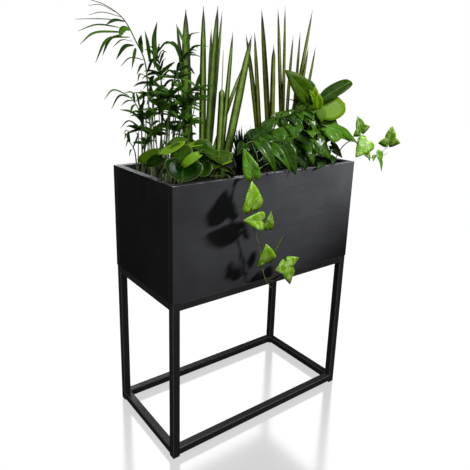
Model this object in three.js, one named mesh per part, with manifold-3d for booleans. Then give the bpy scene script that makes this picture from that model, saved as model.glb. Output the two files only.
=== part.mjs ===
// A raised planter: a box of black boards on a welded stand of square steel tube, holding a
// lift-out plastic liner full of soil and house plants. Millimetres, +Z up. The origin is the
// centre of the footprint on the floor, +X runs along the front and the front faces -Y.
import * as THREE from 'three';
import Module from 'manifold-3d';
import { mergeVertices } from 'three/addons/utils/BufferGeometryUtils.js';

const wasm = await Module();
wasm.setup();

// Driving dimensions.
const WIDTH = 600;
const DEPTH = 300;
const STAND_H = 430;
const BOX_H = 281;
const TUBE = 20;
const TUBE_WALL = 1.5;
const STAND_INSET = 1;
const PANEL = 18;
const BASE_PANEL = 12;
const EDGE = 0.75;
const FOOT_H = 5;
const RAIL_RAISE = 6;
const GAP = 0.3;
const CORNER_BLOCK = 18;

const LINER_PLAY = 1;
const LINER_TOP = 671;
const LINER_WALL = 2;
const LINER_CORNER = 30;
const LINER_TAPER = 12;
const FLANGE = 6;
const FLANGE_SKIRT = 7;
const SOIL_TOP = 655;
const ROOT_DEPTH = 25;
const ROOT_SIDES = 12;

const SCREW_R = 2;
const SCREW_HEAD_R = 4;
const SCREW_HEAD_H = 2.5;
const SCREW_BITE = 20;
const SCREW_X = 200;

// Worked out from the driving dimensions.
const standX = WIDTH / 2 - STAND_INSET;
const standY = DEPTH / 2 - STAND_INSET;
const legX = standX - TUBE / 2;
const legY = standY - TUBE / 2;
const railX = 2 * (standX - TUBE);
const railY = 2 * (standY - TUBE);
const rimTop = STAND_H + BOX_H;
const innerX = WIDTH / 2 - PANEL;
const innerY = DEPTH / 2 - PANEL;
const floorTop = STAND_H + BASE_PANEL;
const linerW = 2 * (innerX - LINER_PLAY);
const linerD = 2 * (innerY - LINER_PLAY);
const tubW = linerW - 2 * (FLANGE + LINER_TAPER);
const tubD = linerD - 2 * (FLANGE + LINER_TAPER);
const slope = LINER_TAPER / (LINER_TOP - floorTop);
const rootBottom = SOIL_TOP - ROOT_DEPTH;

const object = new THREE.Group();

function finish(color, roughness, metalness) {
  return { color, roughness, metalness };
}

const FINISH = {
  steel: finish(0x1b1b1d, 0.5, 0.3),
  board: finish(0x35353a, 0.72, 0),
  rawBoard: finish(0x2b2a2a, 0.9, 0),
  plastic: finish(0x111112, 0.3, 0),
  screw: finish(0xa8abb0, 0.35, 1),
  soil: finish(0x2a1c13, 1, 0),
  blade: finish(0x3f6d2e, 0.45, 0),
  olive: finish(0x5d6b33, 0.5, 0),
  palm: finish(0x2c5a22, 0.5, 0),
  leaf: finish(0x3f8a28, 0.3, 0),
  dark: finish(0x1f4a1c, 0.35, 0),
};

function addPart(name, geometry, look) {
  geometry.computeVertexNormals();
  const mesh = new THREE.Mesh(geometry, new THREE.MeshStandardMaterial(look));
  mesh.name = name;
  object.add(mesh);
  return mesh;
}

// A closed geometry as a solid for joining and cutting, with its faces turned outwards.
function solid(geometry) {
  const plain = geometry.clone();
  plain.deleteAttribute('normal');
  plain.deleteAttribute('uv');
  const merged = mergeVertices(plain, 1e-4);
  const corners = merged.attributes.position.array;
  const faces = Array.from(merged.index.array);
  const kept = [];
  for (let i = 0; i < faces.length; i += 3) {
    const [a, b, c] = faces.slice(i, i + 3);
    if (a !== b && b !== c && c !== a) kept.push(a, b, c);
  }
  const mesh = new wasm.Mesh({
    numProp: 3,
    vertProperties: new Float32Array(corners),
    triVerts: new Uint32Array(kept),
  });
  const made = new wasm.Manifold(mesh);
  if (made.volume() > 0) return made;
  for (let i = 0; i < kept.length; i += 3) {
    [kept[i], kept[i + 1]] = [kept[i + 1], kept[i]];
  }
  mesh.triVerts = new Uint32Array(kept);
  return new wasm.Manifold(mesh);
}

function geometryOf(body) {
  const mesh = body.getMesh();
  const geometry = new THREE.BufferGeometry();
  geometry.setAttribute('position', new THREE.BufferAttribute(mesh.vertProperties, 3));
  geometry.setIndex(new THREE.BufferAttribute(mesh.triVerts, 1));
  return geometry;
}

function joined(geometries) {
  return geometries.map(solid).reduce((whole, next) => whole.add(next));
}

// Swaps the axes in turn, so that a shape made along Z runs along X or Y with nothing rounded.
function alongAxis(geometry, axis) {
  const p = geometry.attributes.position;
  for (let i = 0; i < p.count; i += 1) {
    const [x, y, z] = [p.getX(i), p.getY(i), p.getZ(i)];
    if (axis === 'x') p.setXYZ(i, z, x, y);
    if (axis === 'y') p.setXYZ(i, y, z, x);
  }
  return geometry;
}

// Stands a shape turned about Y on its end.
function upright(geometry) {
  return alongAxis(geometry, 'x');
}

function roundedRectangle(outline, w, d, r) {
  const [x, y] = [w / 2, d / 2];
  outline.moveTo(-x + r, -y);
  outline.lineTo(x - r, -y);
  outline.absarc(x - r, -y + r, r, -Math.PI / 2, 0);
  outline.lineTo(x, y - r);
  outline.absarc(x - r, y - r, r, 0, Math.PI / 2);
  outline.lineTo(-x + r, y);
  outline.absarc(-x + r, y - r, r, Math.PI / 2, Math.PI);
  outline.lineTo(-x, -y + r);
  outline.absarc(-x + r, -y + r, r, Math.PI, 1.5 * Math.PI);
  return outline;
}

// --- Stand: square tube, welded ---

function squareTube(length) {
  const outline = roundedRectangle(new THREE.Shape(), TUBE, TUBE, 2);
  const bore = TUBE - 2 * TUBE_WALL;
  outline.holes.push(roundedRectangle(new THREE.Path(), bore, bore, 0.5));
  return new THREE.ExtrudeGeometry(outline, { depth: length, bevelEnabled: false, curveSegments: 2 });
}

function cylinder(radius, from, to, x, y, segments = 20) {
  const geometry = new THREE.CylinderGeometry(radius, radius, to - from, segments);
  return upright(geometry).translate(x, y, (from + to) / 2);
}

const corners = [
  ['front_left', -1, -1],
  ['front_right', 1, -1],
  ['back_left', -1, 1],
  ['back_right', 1, 1],
];

function addLegs() {
  for (const [where, sx, sy] of corners) {
    const leg = squareTube(STAND_H - FOOT_H).translate(sx * legX, sy * legY, FOOT_H);
    addPart(`leg_${where}`, leg, FINISH.steel);
  }
}

// A moulded cap with its lower edge chamfered and a plug that grips inside the tube.
function addFeet() {
  const chamfer = 1.5;
  const plugSide = TUBE - 2 * TUBE_WALL - 2 * GAP;
  for (const [where, sx, sy] of corners) {
    const pad = roundedRectangle(new THREE.Shape(), TUBE - 2 * chamfer, TUBE - 2 * chamfer, 1);
    const head = new THREE.ExtrudeGeometry(pad, {
      depth: FOOT_H - 2 * chamfer,
      bevelThickness: chamfer,
      bevelSize: chamfer,
      bevelSegments: 1,
      curveSegments: 2,
    }).translate(0, 0, chamfer);
    const plug = new THREE.ExtrudeGeometry(
      roundedRectangle(new THREE.Shape(), plugSide, plugSide, 1),
      { depth: 16, bevelEnabled: false, curveSegments: 2 },
    ).translate(0, 0, FOOT_H - 2);
    const foot = geometryOf(joined([head, plug])).translate(sx * legX, sy * legY, 0);
    addPart(`foot_${where}`, foot, FINISH.plastic);
  }
}

function railLevel(level) {
  return level === 'top' ? STAND_H - TUBE / 2 : RAIL_RAISE + TUBE / 2;
}

function addRails() {
  for (const level of ['top', 'bottom']) {
    for (const [side, sy] of [['front', -1], ['back', 1]]) {
      const rail = alongAxis(squareTube(railX), 'x');
      rail.translate(-railX / 2, sy * legY, railLevel(level));
      const drilled = level === 'top' ? drillRail(rail, sy) : rail;
      addPart(`rail_${level}_${side}`, drilled, FINISH.steel);
    }
    for (const [side, sx] of [['left', -1], ['right', 1]]) {
      const rail = alongAxis(squareTube(railY), 'y');
      rail.translate(sx * legX, -railY / 2, railLevel(level));
      addPart(`rail_${level}_${side}`, rail, FINISH.steel);
    }
  }
}

// --- Screws that hold the box down, and the holes they pass through ---

const screwY = DEPTH / 2 - PANEL / 2 - 1;

function drillRail(rail, sy) {
  let body = solid(rail);
  for (const sx of [-1, 1]) {
    const bore = cylinder(SCREW_R + GAP, STAND_H - TUBE - 2, STAND_H + 2, sx * SCREW_X, sy * screwY);
    body = body.subtract(solid(bore));
  }
  return geometryOf(body);
}

function drillBoard(board, sy) {
  let body = solid(board);
  for (const sx of [-1, 1]) {
    const top = STAND_H + SCREW_BITE + GAP;
    const bore = cylinder(SCREW_R + GAP, STAND_H - 2, top, sx * SCREW_X, sy * screwY);
    body = body.subtract(solid(bore));
  }
  return geometryOf(body);
}

function addScrews() {
  const headTop = STAND_H - TUBE;
  const profile = [
    new THREE.Vector2(0, headTop - SCREW_HEAD_H),
    new THREE.Vector2(SCREW_HEAD_R * 0.7, headTop - SCREW_HEAD_H),
    new THREE.Vector2(SCREW_HEAD_R, headTop - SCREW_HEAD_H * 0.4),
    new THREE.Vector2(SCREW_HEAD_R, headTop),
    new THREE.Vector2(SCREW_R, headTop),
    new THREE.Vector2(SCREW_R, STAND_H + SCREW_BITE - 4),
    new THREE.Vector2(0, STAND_H + SCREW_BITE),
  ];
  for (const [where, sx, sy] of corners) {
    const screw = upright(new THREE.LatheGeometry(profile, 20));
    addPart(`screw_${where}`, screw.translate(sx * SCREW_X, sy * screwY, 0), FINISH.screw);
  }
}

// --- Box of boards ---

// A board of w along X, d along Y and h along Z, with small chamfers on all its edges, centred on
// x and y with its underside at z = 0.
function board(w, d, h) {
  const edge = EDGE;
  const face = new THREE.Shape();
  face.moveTo(-w / 2 + edge, edge);
  face.lineTo(w / 2 - edge, edge);
  face.lineTo(w / 2 - edge, h - edge);
  face.lineTo(-w / 2 + edge, h - edge);
  face.closePath();
  const slab = new THREE.ExtrudeGeometry(face, {
    depth: d - 2 * edge,
    bevelThickness: edge,
    bevelSize: edge,
    bevelSegments: 1,
  }).translate(0, 0, edge - d / 2);
  const p = slab.attributes.position;
  for (let i = 0; i < p.count; i += 1) {
    p.setXYZ(i, p.getX(i), -p.getZ(i), p.getY(i));
  }
  return slab;
}

function addBox() {
  const across = 2 * innerY;
  const panelY = DEPTH / 2 - PANEL / 2;
  const panelX = WIDTH / 2 - PANEL / 2;
  for (const [side, sy] of [['front', -1], ['back', 1]]) {
    const panel = board(WIDTH, PANEL, BOX_H).translate(0, sy * panelY, STAND_H);
    addPart(`panel_${side}`, drillBoard(panel, sy), FINISH.board);
  }
  for (const [side, sx] of [['left', -1], ['right', 1]]) {
    const panel = board(PANEL, across, BOX_H).translate(sx * panelX, 0, STAND_H);
    addPart(`panel_${side}`, panel, FINISH.board);
  }
  const base = board(2 * innerX, across, BASE_PANEL).translate(0, 0, STAND_H);
  addPart('panel_base', base, FINISH.rawBoard);
}

// Three-cornered battens glued up the inside corners, above the base.
function addCornerBlocks() {
  const height = rimTop - 8 - floorTop;
  for (const [where, sx, sy] of corners) {
    const outline = new THREE.Shape();
    outline.moveTo(sx * innerX, sy * innerY);
    outline.lineTo(sx * (innerX - CORNER_BLOCK), sy * innerY);
    outline.lineTo(sx * innerX, sy * (innerY - CORNER_BLOCK));
    outline.closePath();
    const block = new THREE.ExtrudeGeometry(outline, { depth: height, bevelEnabled: false });
    addPart(`corner_block_${where}`, block.translate(0, 0, floorTop), FINISH.rawBoard);
  }
}

// --- Liner: a tapered tub with a turned-down rim, and the soil in it ---

// A block with rounded corners, w by d at its foot, whose sides lean outwards by lean for each
// millimetre of height.
function tubBlock(w, d, low, high, lean) {
  const outline = roundedRectangle(new THREE.Shape(), w, d, LINER_CORNER);
  const block = new THREE.ExtrudeGeometry(outline, {
    depth: high - low,
    bevelEnabled: false,
    curveSegments: 6,
  });
  const p = block.attributes.position;
  for (let i = 0; i < p.count; i += 1) {
    const [x, y, z] = [p.getX(i), p.getY(i), p.getZ(i)];
    p.setXYZ(i, x + Math.sign(x) * lean * z, y + Math.sign(y) * lean * z, z + low);
  }
  return block;
}

function addLiner() {
  const skirtLow = LINER_TOP - FLANGE_SKIRT;
  const plateLow = LINER_TOP - LINER_WALL;
  const over = 5;
  const inset = 2 * (LINER_WALL - slope * LINER_WALL);
  const rim = solid(tubBlock(linerW, linerD, skirtLow, LINER_TOP, 0));
  const under = tubBlock(linerW - 2 * LINER_WALL, linerD - 2 * LINER_WALL, skirtLow - over, plateLow, 0);
  const tub = solid(tubBlock(tubW, tubD, floorTop, LINER_TOP, slope));
  const inside = tubBlock(tubW - inset, tubD - inset, floorTop + LINER_WALL, LINER_TOP + over, slope);
  const shell = rim.subtract(solid(under)).add(tub).subtract(solid(inside));
  addPart('liner', geometryOf(shell), FINISH.plastic);
}

// The soil, with a socket where each plant is rooted.
function addSoil(sockets) {
  const low = floorTop + LINER_WALL + GAP;
  const inset = 2 * (LINER_WALL + 2 * GAP);
  let body = solid(tubBlock(tubW - inset, tubD - inset, low, SOIL_TOP, slope));
  for (const { at: [x, y], radius } of sockets) {
    const hole = cylinder(radius + GAP, rootBottom - GAP, SOIL_TOP + 5, x, y, ROOT_SIDES);
    body = body.subtract(solid(hole));
  }
  addPart('soil', geometryOf(body), FINISH.soil);
}

// --- Plants: closed soft forms of the right size and place ---

const BLADE = [[0, 0], [0.7, 0], [0.9, 0.18], [1, 0.42], [0.88, 0.66], [0.55, 0.85], [0.15, 0.96], [0, 1]];
const LEAF = [[0, 0], [0.75, 0.16], [1, 0.42], [0.72, 0.75], [0, 1]];
const HEART = [[0, 0], [0.7, 0.02], [1, 0.22], [0.86, 0.5], [0.45, 0.8], [0, 1]];
const STEM = [[0, 0], [1, 0], [0.95, 0.5], [0.6, 1], [0, 1]];

function refine(profile, steps) {
  const fine = [profile[0]];
  for (let i = 1; i < profile.length; i += 1) {
    for (let k = 1; k <= steps; k += 1) {
      const t = k / steps;
      fine.push([
        profile[i - 1][0] * (1 - t) + profile[i][0] * t,
        profile[i - 1][1] * (1 - t) + profile[i][1] * t,
      ]);
    }
  }
  return fine;
}

// Lays a turned spindle along a curve, as wide and as thick as given, its width along side.
function alongCurve(curve, profile, width, thickness, side, sides = 6) {
  const points = profile.map(([r, t]) => new THREE.Vector2(r, t));
  const spindle = new THREE.LatheGeometry(points, sides);
  const p = spindle.attributes.position;
  const across = new THREE.Vector3(...side);
  for (let i = 0; i < p.count; i += 1) {
    const t = Math.min(Math.max(p.getY(i), 0), 1);
    const centre = curve.getPoint(t);
    const ahead = curve.getTangent(t);
    const sideways = across.clone().addScaledVector(ahead, -across.dot(ahead)).normalize();
    const outward = sideways.clone().cross(ahead);
    centre.addScaledVector(sideways, (p.getX(i) * width) / 2);
    centre.addScaledVector(outward, (p.getZ(i) * thickness) / 2);
    p.setXYZ(i, centre.x, centre.y, centre.z);
  }
  return spindle;
}

function path(points) {
  return new THREE.CatmullRomCurve3(points.map((q) => new THREE.Vector3(...q)), false, 'centripetal');
}

function rootBall({ at: [x, y], radius }) {
  return cylinder(radius, rootBottom, SOIL_TOP + 5, x, y, ROOT_SIDES);
}

// A sword-like blade from its foot on the root ball to its tip, bowed sideways by bow.
function blade([x, y], tip, width, bow) {
  const foot = new THREE.Vector3(x, y, SOIL_TOP + 1);
  const end = new THREE.Vector3(...tip);
  const middle = foot.clone().lerp(end, 0.5).add(new THREE.Vector3(2 * bow, 0, 0));
  const curve = new THREE.QuadraticBezierCurve3(foot, middle, end);
  return alongCurve(curve, BLADE, width, 6, [1, 0, 0]);
}

// Each rosette of sword plant: its root ball, then its blades as foot, tip, width and bow.
const SWORDS_LEFT = [
  {
    at: [-104, 60],
    radius: 25,
    blades: [
      [[-104, 81], [-144, 85, 1065], 15, 8],
      [[-116, 62], [-131, 62, 1099], 27, -3],
      [[-88, 44], [-93, 40, 1107], 19, 0],
    ],
  },
  {
    at: [-50, 80],
    radius: 20,
    blades: [
      [[-38, 92], [-31, 92, 1062], 13, 0],
      [[-60, 68], [-33, 62, 1114], 21, 0],
      [[-45, 80], [-7, 78, 1105], 12, 0],
    ],
  },
  {
    at: [-41, 38],
    radius: 21,
    blades: [
      [[-56, 26], [-38, 28, 1006], 18, 10],
      [[-27, 48], [9, 50, 1053], 14, 0],
      [[-40, 55], [71, 66, 984], 14, 2],
      [[-32, 34], [61, 35, 1045], 24, 0],
    ],
  },
];

const SWORDS_RIGHT = [
  {
    at: [150, 69],
    radius: 15,
    blades: [
      [[156, 80], [80, 82, 1053], 15, 6],
      [[143, 60], [92, 60, 1058], 13, 0],
    ],
  },
  {
    at: [184, 64],
    radius: 17,
    blades: [
      [[191, 76], [128, 76, 1119], 17, 2],
      [[176, 52], [156, 50, 1027], 19, -2],
    ],
  },
  {
    at: [233, 70],
    radius: 17,
    blades: [
      [[244, 78], [189, 76, 1127], 13, 1],
      [[222, 60], [196, 55, 1131], 10, 2],
    ],
  },
  {
    at: [218, 30],
    radius: 16,
    blades: [
      [[206, 28], [215, 35, 1053], 10, -6],
      [[230, 34], [247, 40, 1065], 10, 0],
    ],
  },
  {
    at: [184, 10],
    radius: 17,
    blades: [
      [[176, 20], [278, 28, 1124], 13, 4],
      [[178, 4], [255, 12, 1024], 12, 4],
      [[196, 2], [267, -4, 1022], 10, 4],
    ],
  },
];

function addSwords(prefix, rosettes, look) {
  rosettes.forEach((rosette, i) => {
    const blades = rosette.blades.map((spec) => blade(...spec));
    const whole = joined([rootBall(rosette), ...blades]);
    addPart(`${prefix}_${i + 1}`, geometryOf(whole), look);
  });
}

// Each frond of parlour palm: its root ball, the line of its cane and midrib, the share of that
// line with no leaflets, and the leaflets' length.
const FRONDS = [
  {
    name: 'palm_frond_arching',
    at: [-236, 46],
    line: [
      [-240, 45, 740],
      [-248, 42, 860],
      [-267, 35, 967],
      [-308, 20, 1043],
      [-349, 10, 1076],
      [-407, 0, 1090],
    ],
    bare: 0.55,
    leaflet: 90,
  },
  {
    name: 'palm_frond_upright',
    at: [-212, 62],
    line: [[-210, 58, 760], [-205, 50, 857], [-212, 44, 960], [-228, 40, 1060]],
    bare: 0.6,
    leaflet: 50,
  },
  {
    name: 'palm_frond_right_high',
    at: [-196, 40],
    line: [[-198, 36, 760], [-196, 22, 900], [-185, 5, 973], [-145, -20, 1019]],
    bare: 0.6,
    leaflet: 45,
  },
  {
    name: 'palm_frond_right_low',
    at: [-184, 16],
    line: [[-186, 12, 750], [-184, 0, 840], [-170, -20, 905], [-130, -40, 925]],
    bare: 0.6,
    leaflet: 40,
  },
  {
    name: 'palm_frond_left_high',
    at: [-256, 66],
    line: [[-258, 66, 760], [-272, 58, 840], [-308, 46, 899], [-382, 30, 892]],
    bare: 0.5,
    leaflet: 40,
  },
  {
    name: 'palm_frond_left_low',
    at: [-256, 92],
    line: [[-260, 94, 730], [-280, 96, 790], [-313, 96, 835], [-350, 96, 830]],
    bare: 0.5,
    leaflet: 35,
  },
  {
    name: 'palm_frond_front',
    at: [-222, 14],
    line: [[-224, 8, 750], [-226, -10, 830], [-222, -40, 870], [-205, -80, 875]],
    bare: 0.55,
    leaflet: 35,
  },
  {
    name: 'palm_frond_back',
    at: [-216, 98],
    line: [[-210, 104, 750], [-195, 125, 840], [-165, 155, 875], [-130, 180, 872]],
    bare: 0.6,
    leaflet: 20,
  },
];

const FROND_ROOT = 7;
const CANE = 6;

function frond({ at, line, bare, leaflet }) {
  const curve = path([[at[0], at[1], SOIL_TOP - 5], ...line]);
  const pieces = [rootBall({ at, radius: FROND_ROOT })];
  pieces.push(alongCurve(curve, refine(STEM, 4), CANE, CANE, [0, 1, 0], 5));
  const pairs = 3;
  for (let i = 0; i < pairs; i += 1) {
    const t = bare + ((0.97 - bare) * i) / (pairs - 1);
    const start = curve.getPoint(t);
    const ahead = curve.getTangent(t);
    const level = new THREE.Vector3(-ahead.y, ahead.x, 0).normalize();
    const length = leaflet * (1 - 0.2 * Math.abs(i - 1));
    for (const hand of [-1, 1]) {
      const reach = ahead.clone().multiplyScalar(0.75).addScaledVector(level, 0.6 * hand);
      const middle = start.clone().addScaledVector(reach, length * 0.6);
      const end = start.clone().addScaledVector(reach, length).add(new THREE.Vector3(0, 0, -0.3 * length));
      const rib = new THREE.QuadraticBezierCurve3(start, middle, end);
      pieces.push(alongCurve(rib, LEAF, 14, 3, level.toArray(), 4));
    }
  }
  return geometryOf(joined(pieces));
}

// A mound of foliage: a neck standing in the liner and a dome that spreads over the rim.
function mound(neck, dome) {
  const stalk = upright(new THREE.CylinderGeometry(1, 1, 1, 20));
  stalk.scale(neck.rx, neck.ry, dome.low + 5 - neck.low);
  stalk.translate(neck.x, neck.y, (neck.low + dome.low + 5) / 2);
  const profile = [[0, 0], [0.8, 0], [1, 0.2], [0.95, 0.45], [0.75, 0.75], [0.4, 0.95], [0, 1]];
  const cap = upright(new THREE.LatheGeometry(profile.map(([r, z]) => new THREE.Vector2(r, z)), 24));
  cap.scale(dome.rx, dome.ry, dome.high - dome.low);
  cap.translate(dome.x, dome.y, dome.low);
  return [stalk, cap];
}

const PEPEROMIA = { at: [-195, -70], radius: 22 };
const POTHOS = { at: [140, -70], radius: 24 };
const FIG = { at: [240, -20], radius: 10 };
const TUFT = { at: [10, -6], radius: 11 };
const FRONT_IVY = { at: [24, -95], radius: 7 };
const RIGHT_IVY = { at: [254, -100], radius: 7 };

function addMounds() {
  const low = SOIL_TOP + GAP;
  const broad = mound(
    { x: -195, y: -78, rx: 68, ry: 42, low },
    { x: -205, y: -100, rx: 118, ry: 68, low: rimTop + 4, high: 790 },
  );
  addPart('peperomia', geometryOf(joined([rootBall(PEPEROMIA), ...broad])), FINISH.leaf);
  const trailing = mound(
    { x: 140, y: -72, rx: 90, ry: 44, low },
    { x: 138, y: -92, rx: 145, ry: 74, low: 730, high: 835 },
  );
  addPart('pothos', geometryOf(joined([rootBall(POTHOS), ...trailing])), FINISH.dark);
}

function leaf(from, to, width, side, profile = HEART) {
  const curve = new THREE.LineCurve3(from.clone(), new THREE.Vector3(...to));
  return alongCurve(curve, profile, width, 3, side, 6);
}

// Climbing ivy: a thin stem along a line, with leaves given by their share of the stem, their tip
// and their width.
function addIvy(name, root, line, leaves) {
  const curve = path([[root.at[0], root.at[1], SOIL_TOP - 5], ...line]);
  const stem = alongCurve(curve, refine(STEM, 6), 4, 4, [1, 0.1, 0], 5);
  const blades = leaves.map(([t, to, width]) => leaf(curve.getPoint(t), to, width, [1, 0.2, 0.3]));
  addPart(name, geometryOf(joined([rootBall(root), stem, ...blades])), FINISH.leaf);
}

function addIvies() {
  addIvy(
    'ivy_front',
    FRONT_IVY,
    [
      [20, -122, 712],
      [-4, -142, 722],
      [-50, -158, 724],
      [-92, -163, 690],
      [-90, -165, 620],
      [-68, -165, 572],
      [-52, -165, 520],
      [-40, -165, 460],
      [-8, -166, 407],
    ],
    [
      [0.44, [-100, -172, 640], 46],
      [0.55, [-122, -175, 600], 30],
      [0.58, [-56, -175, 560], 34],
      [0.67, [-6, -174, 612], 24],
      [0.74, [-50, -184, 490], 40],
      [0.8, [26, -172, 545], 20],
      [0.9, [52, -184, 430], 46],
    ],
  );
  addIvy(
    'ivy_right',
    RIGHT_IVY,
    [
      [258, -122, 718],
      [262, -142, 728],
      [290, -152, 748],
      [330, -153, 734],
      [376, -155, 715],
      [408, -157, 718],
      [440, -160, 722],
    ],
    [
      [0.5, [300, -158, 830], 42],
      [0.58, [352, -162, 690], 40],
      [0.72, [400, -160, 672], 24],
      [0.92, [440, -164, 806], 44],
    ],
  );
}

function addFig() {
  const [x, y] = FIG.at;
  const curve = path([[x, y, SOIL_TOP - 5], [240, -20, 740], [238, -24, 830], [216, -56, 880]]);
  const stem = alongCurve(curve, refine(STEM, 4), 8, 8, [1, 0, 0]);
  const leaves = [
    leaf(curve.getPoint(0.94), [110, -50, 957], 46, [0.5, 0.5, 0.6], LEAF),
    leaf(curve.getPoint(0.96), [300, -100, 930], 40, [0.2, -0.6, 0.7], LEAF),
    leaf(curve.getPoint(0.88), [290, -110, 862], 58, [0, 0.3, 1], LEAF),
    leaf(curve.getPoint(0.96), [190, -30, 930], 40, [1, 0.3, 0.2], LEAF),
  ];
  addPart('rubber_plant', geometryOf(joined([rootBall(FIG), stem, ...leaves])), FINISH.dark);
}

function addTuft() {
  const spikes = [rootBall(TUFT)];
  const count = 7;
  const spread = 28;
  const [x, y] = TUFT.at;
  for (let i = 0; i < count; i += 1) {
    const turn = (i * 2 * Math.PI) / count;
    const [c, s] = [Math.cos(turn), Math.sin(turn)];
    const tip = [x + spread * c, y + spread * s, rimTop + 70 + 8 * (i % 3)];
    const foot = new THREE.Vector3(x + 5 * c, y + 5 * s, SOIL_TOP - 5);
    spikes.push(leaf(foot, tip, 10, [-s, c, 0], LEAF));
  }
  addPart('grass_tuft', geometryOf(joined(spikes)), FINISH.dark);
}

addLegs();
addFeet();
addRails();
addBox();
addCornerBlocks();
addScrews();

const frondRoots = FRONDS.map(({ at }) => ({ at, radius: FROND_ROOT }));
const others = [PEPEROMIA, POTHOS, FIG, TUFT, FRONT_IVY, RIGHT_IVY];
addLiner();
addSoil([...SWORDS_LEFT, ...SWORDS_RIGHT, ...frondRoots, ...others]);

addSwords('sword_plant_left', SWORDS_LEFT, FINISH.blade);
addSwords('sword_plant_right', SWORDS_RIGHT, FINISH.olive);
for (const spec of FRONDS) {
  addPart(spec.name, frond(spec), FINISH.palm);
}
addMounds();
addFig();
addTuft();
addIvies();

export default object;
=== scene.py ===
import math
import random

import bmesh
import bpy
from mathutils import Euler, Matrix, Vector, noise


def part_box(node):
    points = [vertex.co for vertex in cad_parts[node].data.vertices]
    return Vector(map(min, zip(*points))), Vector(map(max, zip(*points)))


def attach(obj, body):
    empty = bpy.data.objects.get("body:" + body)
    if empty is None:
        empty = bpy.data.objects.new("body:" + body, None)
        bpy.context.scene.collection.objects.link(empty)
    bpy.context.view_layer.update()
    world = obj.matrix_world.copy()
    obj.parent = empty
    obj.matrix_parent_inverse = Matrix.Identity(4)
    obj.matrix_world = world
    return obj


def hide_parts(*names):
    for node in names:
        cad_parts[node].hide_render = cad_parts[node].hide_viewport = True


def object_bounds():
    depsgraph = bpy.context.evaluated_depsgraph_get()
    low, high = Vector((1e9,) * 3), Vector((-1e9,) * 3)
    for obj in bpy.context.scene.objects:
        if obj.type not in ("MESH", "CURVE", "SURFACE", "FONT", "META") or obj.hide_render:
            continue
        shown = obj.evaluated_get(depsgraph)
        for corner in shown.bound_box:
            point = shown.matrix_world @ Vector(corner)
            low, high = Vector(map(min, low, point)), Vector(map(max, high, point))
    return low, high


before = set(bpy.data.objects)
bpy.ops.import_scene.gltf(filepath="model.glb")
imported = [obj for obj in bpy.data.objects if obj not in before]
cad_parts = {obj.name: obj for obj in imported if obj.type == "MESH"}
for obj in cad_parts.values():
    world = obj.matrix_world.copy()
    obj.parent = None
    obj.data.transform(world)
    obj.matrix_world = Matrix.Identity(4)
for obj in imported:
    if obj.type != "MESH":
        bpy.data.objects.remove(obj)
cad_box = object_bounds()

# Places are given in millimetres: x from the middle of the box to the right, y from its middle to
# the back, and z up from its rim.
MM = 0.001
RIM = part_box("panel_front")[1].z
MIDDLE_X = (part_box("panel_left")[0].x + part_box("panel_right")[1].x) / 2
MIDDLE_Y = (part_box("panel_front")[0].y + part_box("panel_back")[1].y) / 2
SOIL = (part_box("soil")[1].z - RIM) / MM
UP = Vector((0, 0, 1))
GOLDEN_TURN = math.pi * (3 - math.sqrt(5))

# The plants and the planter are lit by lights of their own.
GREENERY = bpy.data.collections.new("greenery")
BOARDS = bpy.data.collections.new("boards")
STEEL = bpy.data.collections.new("steel")

# White walls and a white roof surround the floor for it to mirror.
WALLS = 8
WALL_AWAY = 12
WALL_HIGH = 18
WALL_WIDE = 2 * WALL_AWAY * math.tan(math.pi / WALLS)
FLOOR_RADIUS = 9


def spot(x, y, z):
    return Vector((MIDDLE_X + x * MM, MIDDLE_Y + y * MM, RIM + z * MM))


def spots(points):
    return [spot(*point) for point in points]


def add_object(name, data):
    made = bpy.data.objects.new(name, data)
    bpy.context.scene.collection.objects.link(made)
    return made


def jitter(chance, most):
    return Vector([chance.uniform(-most, most) for _ in range(3)])


# ---- Nodes and materials ----

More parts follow.
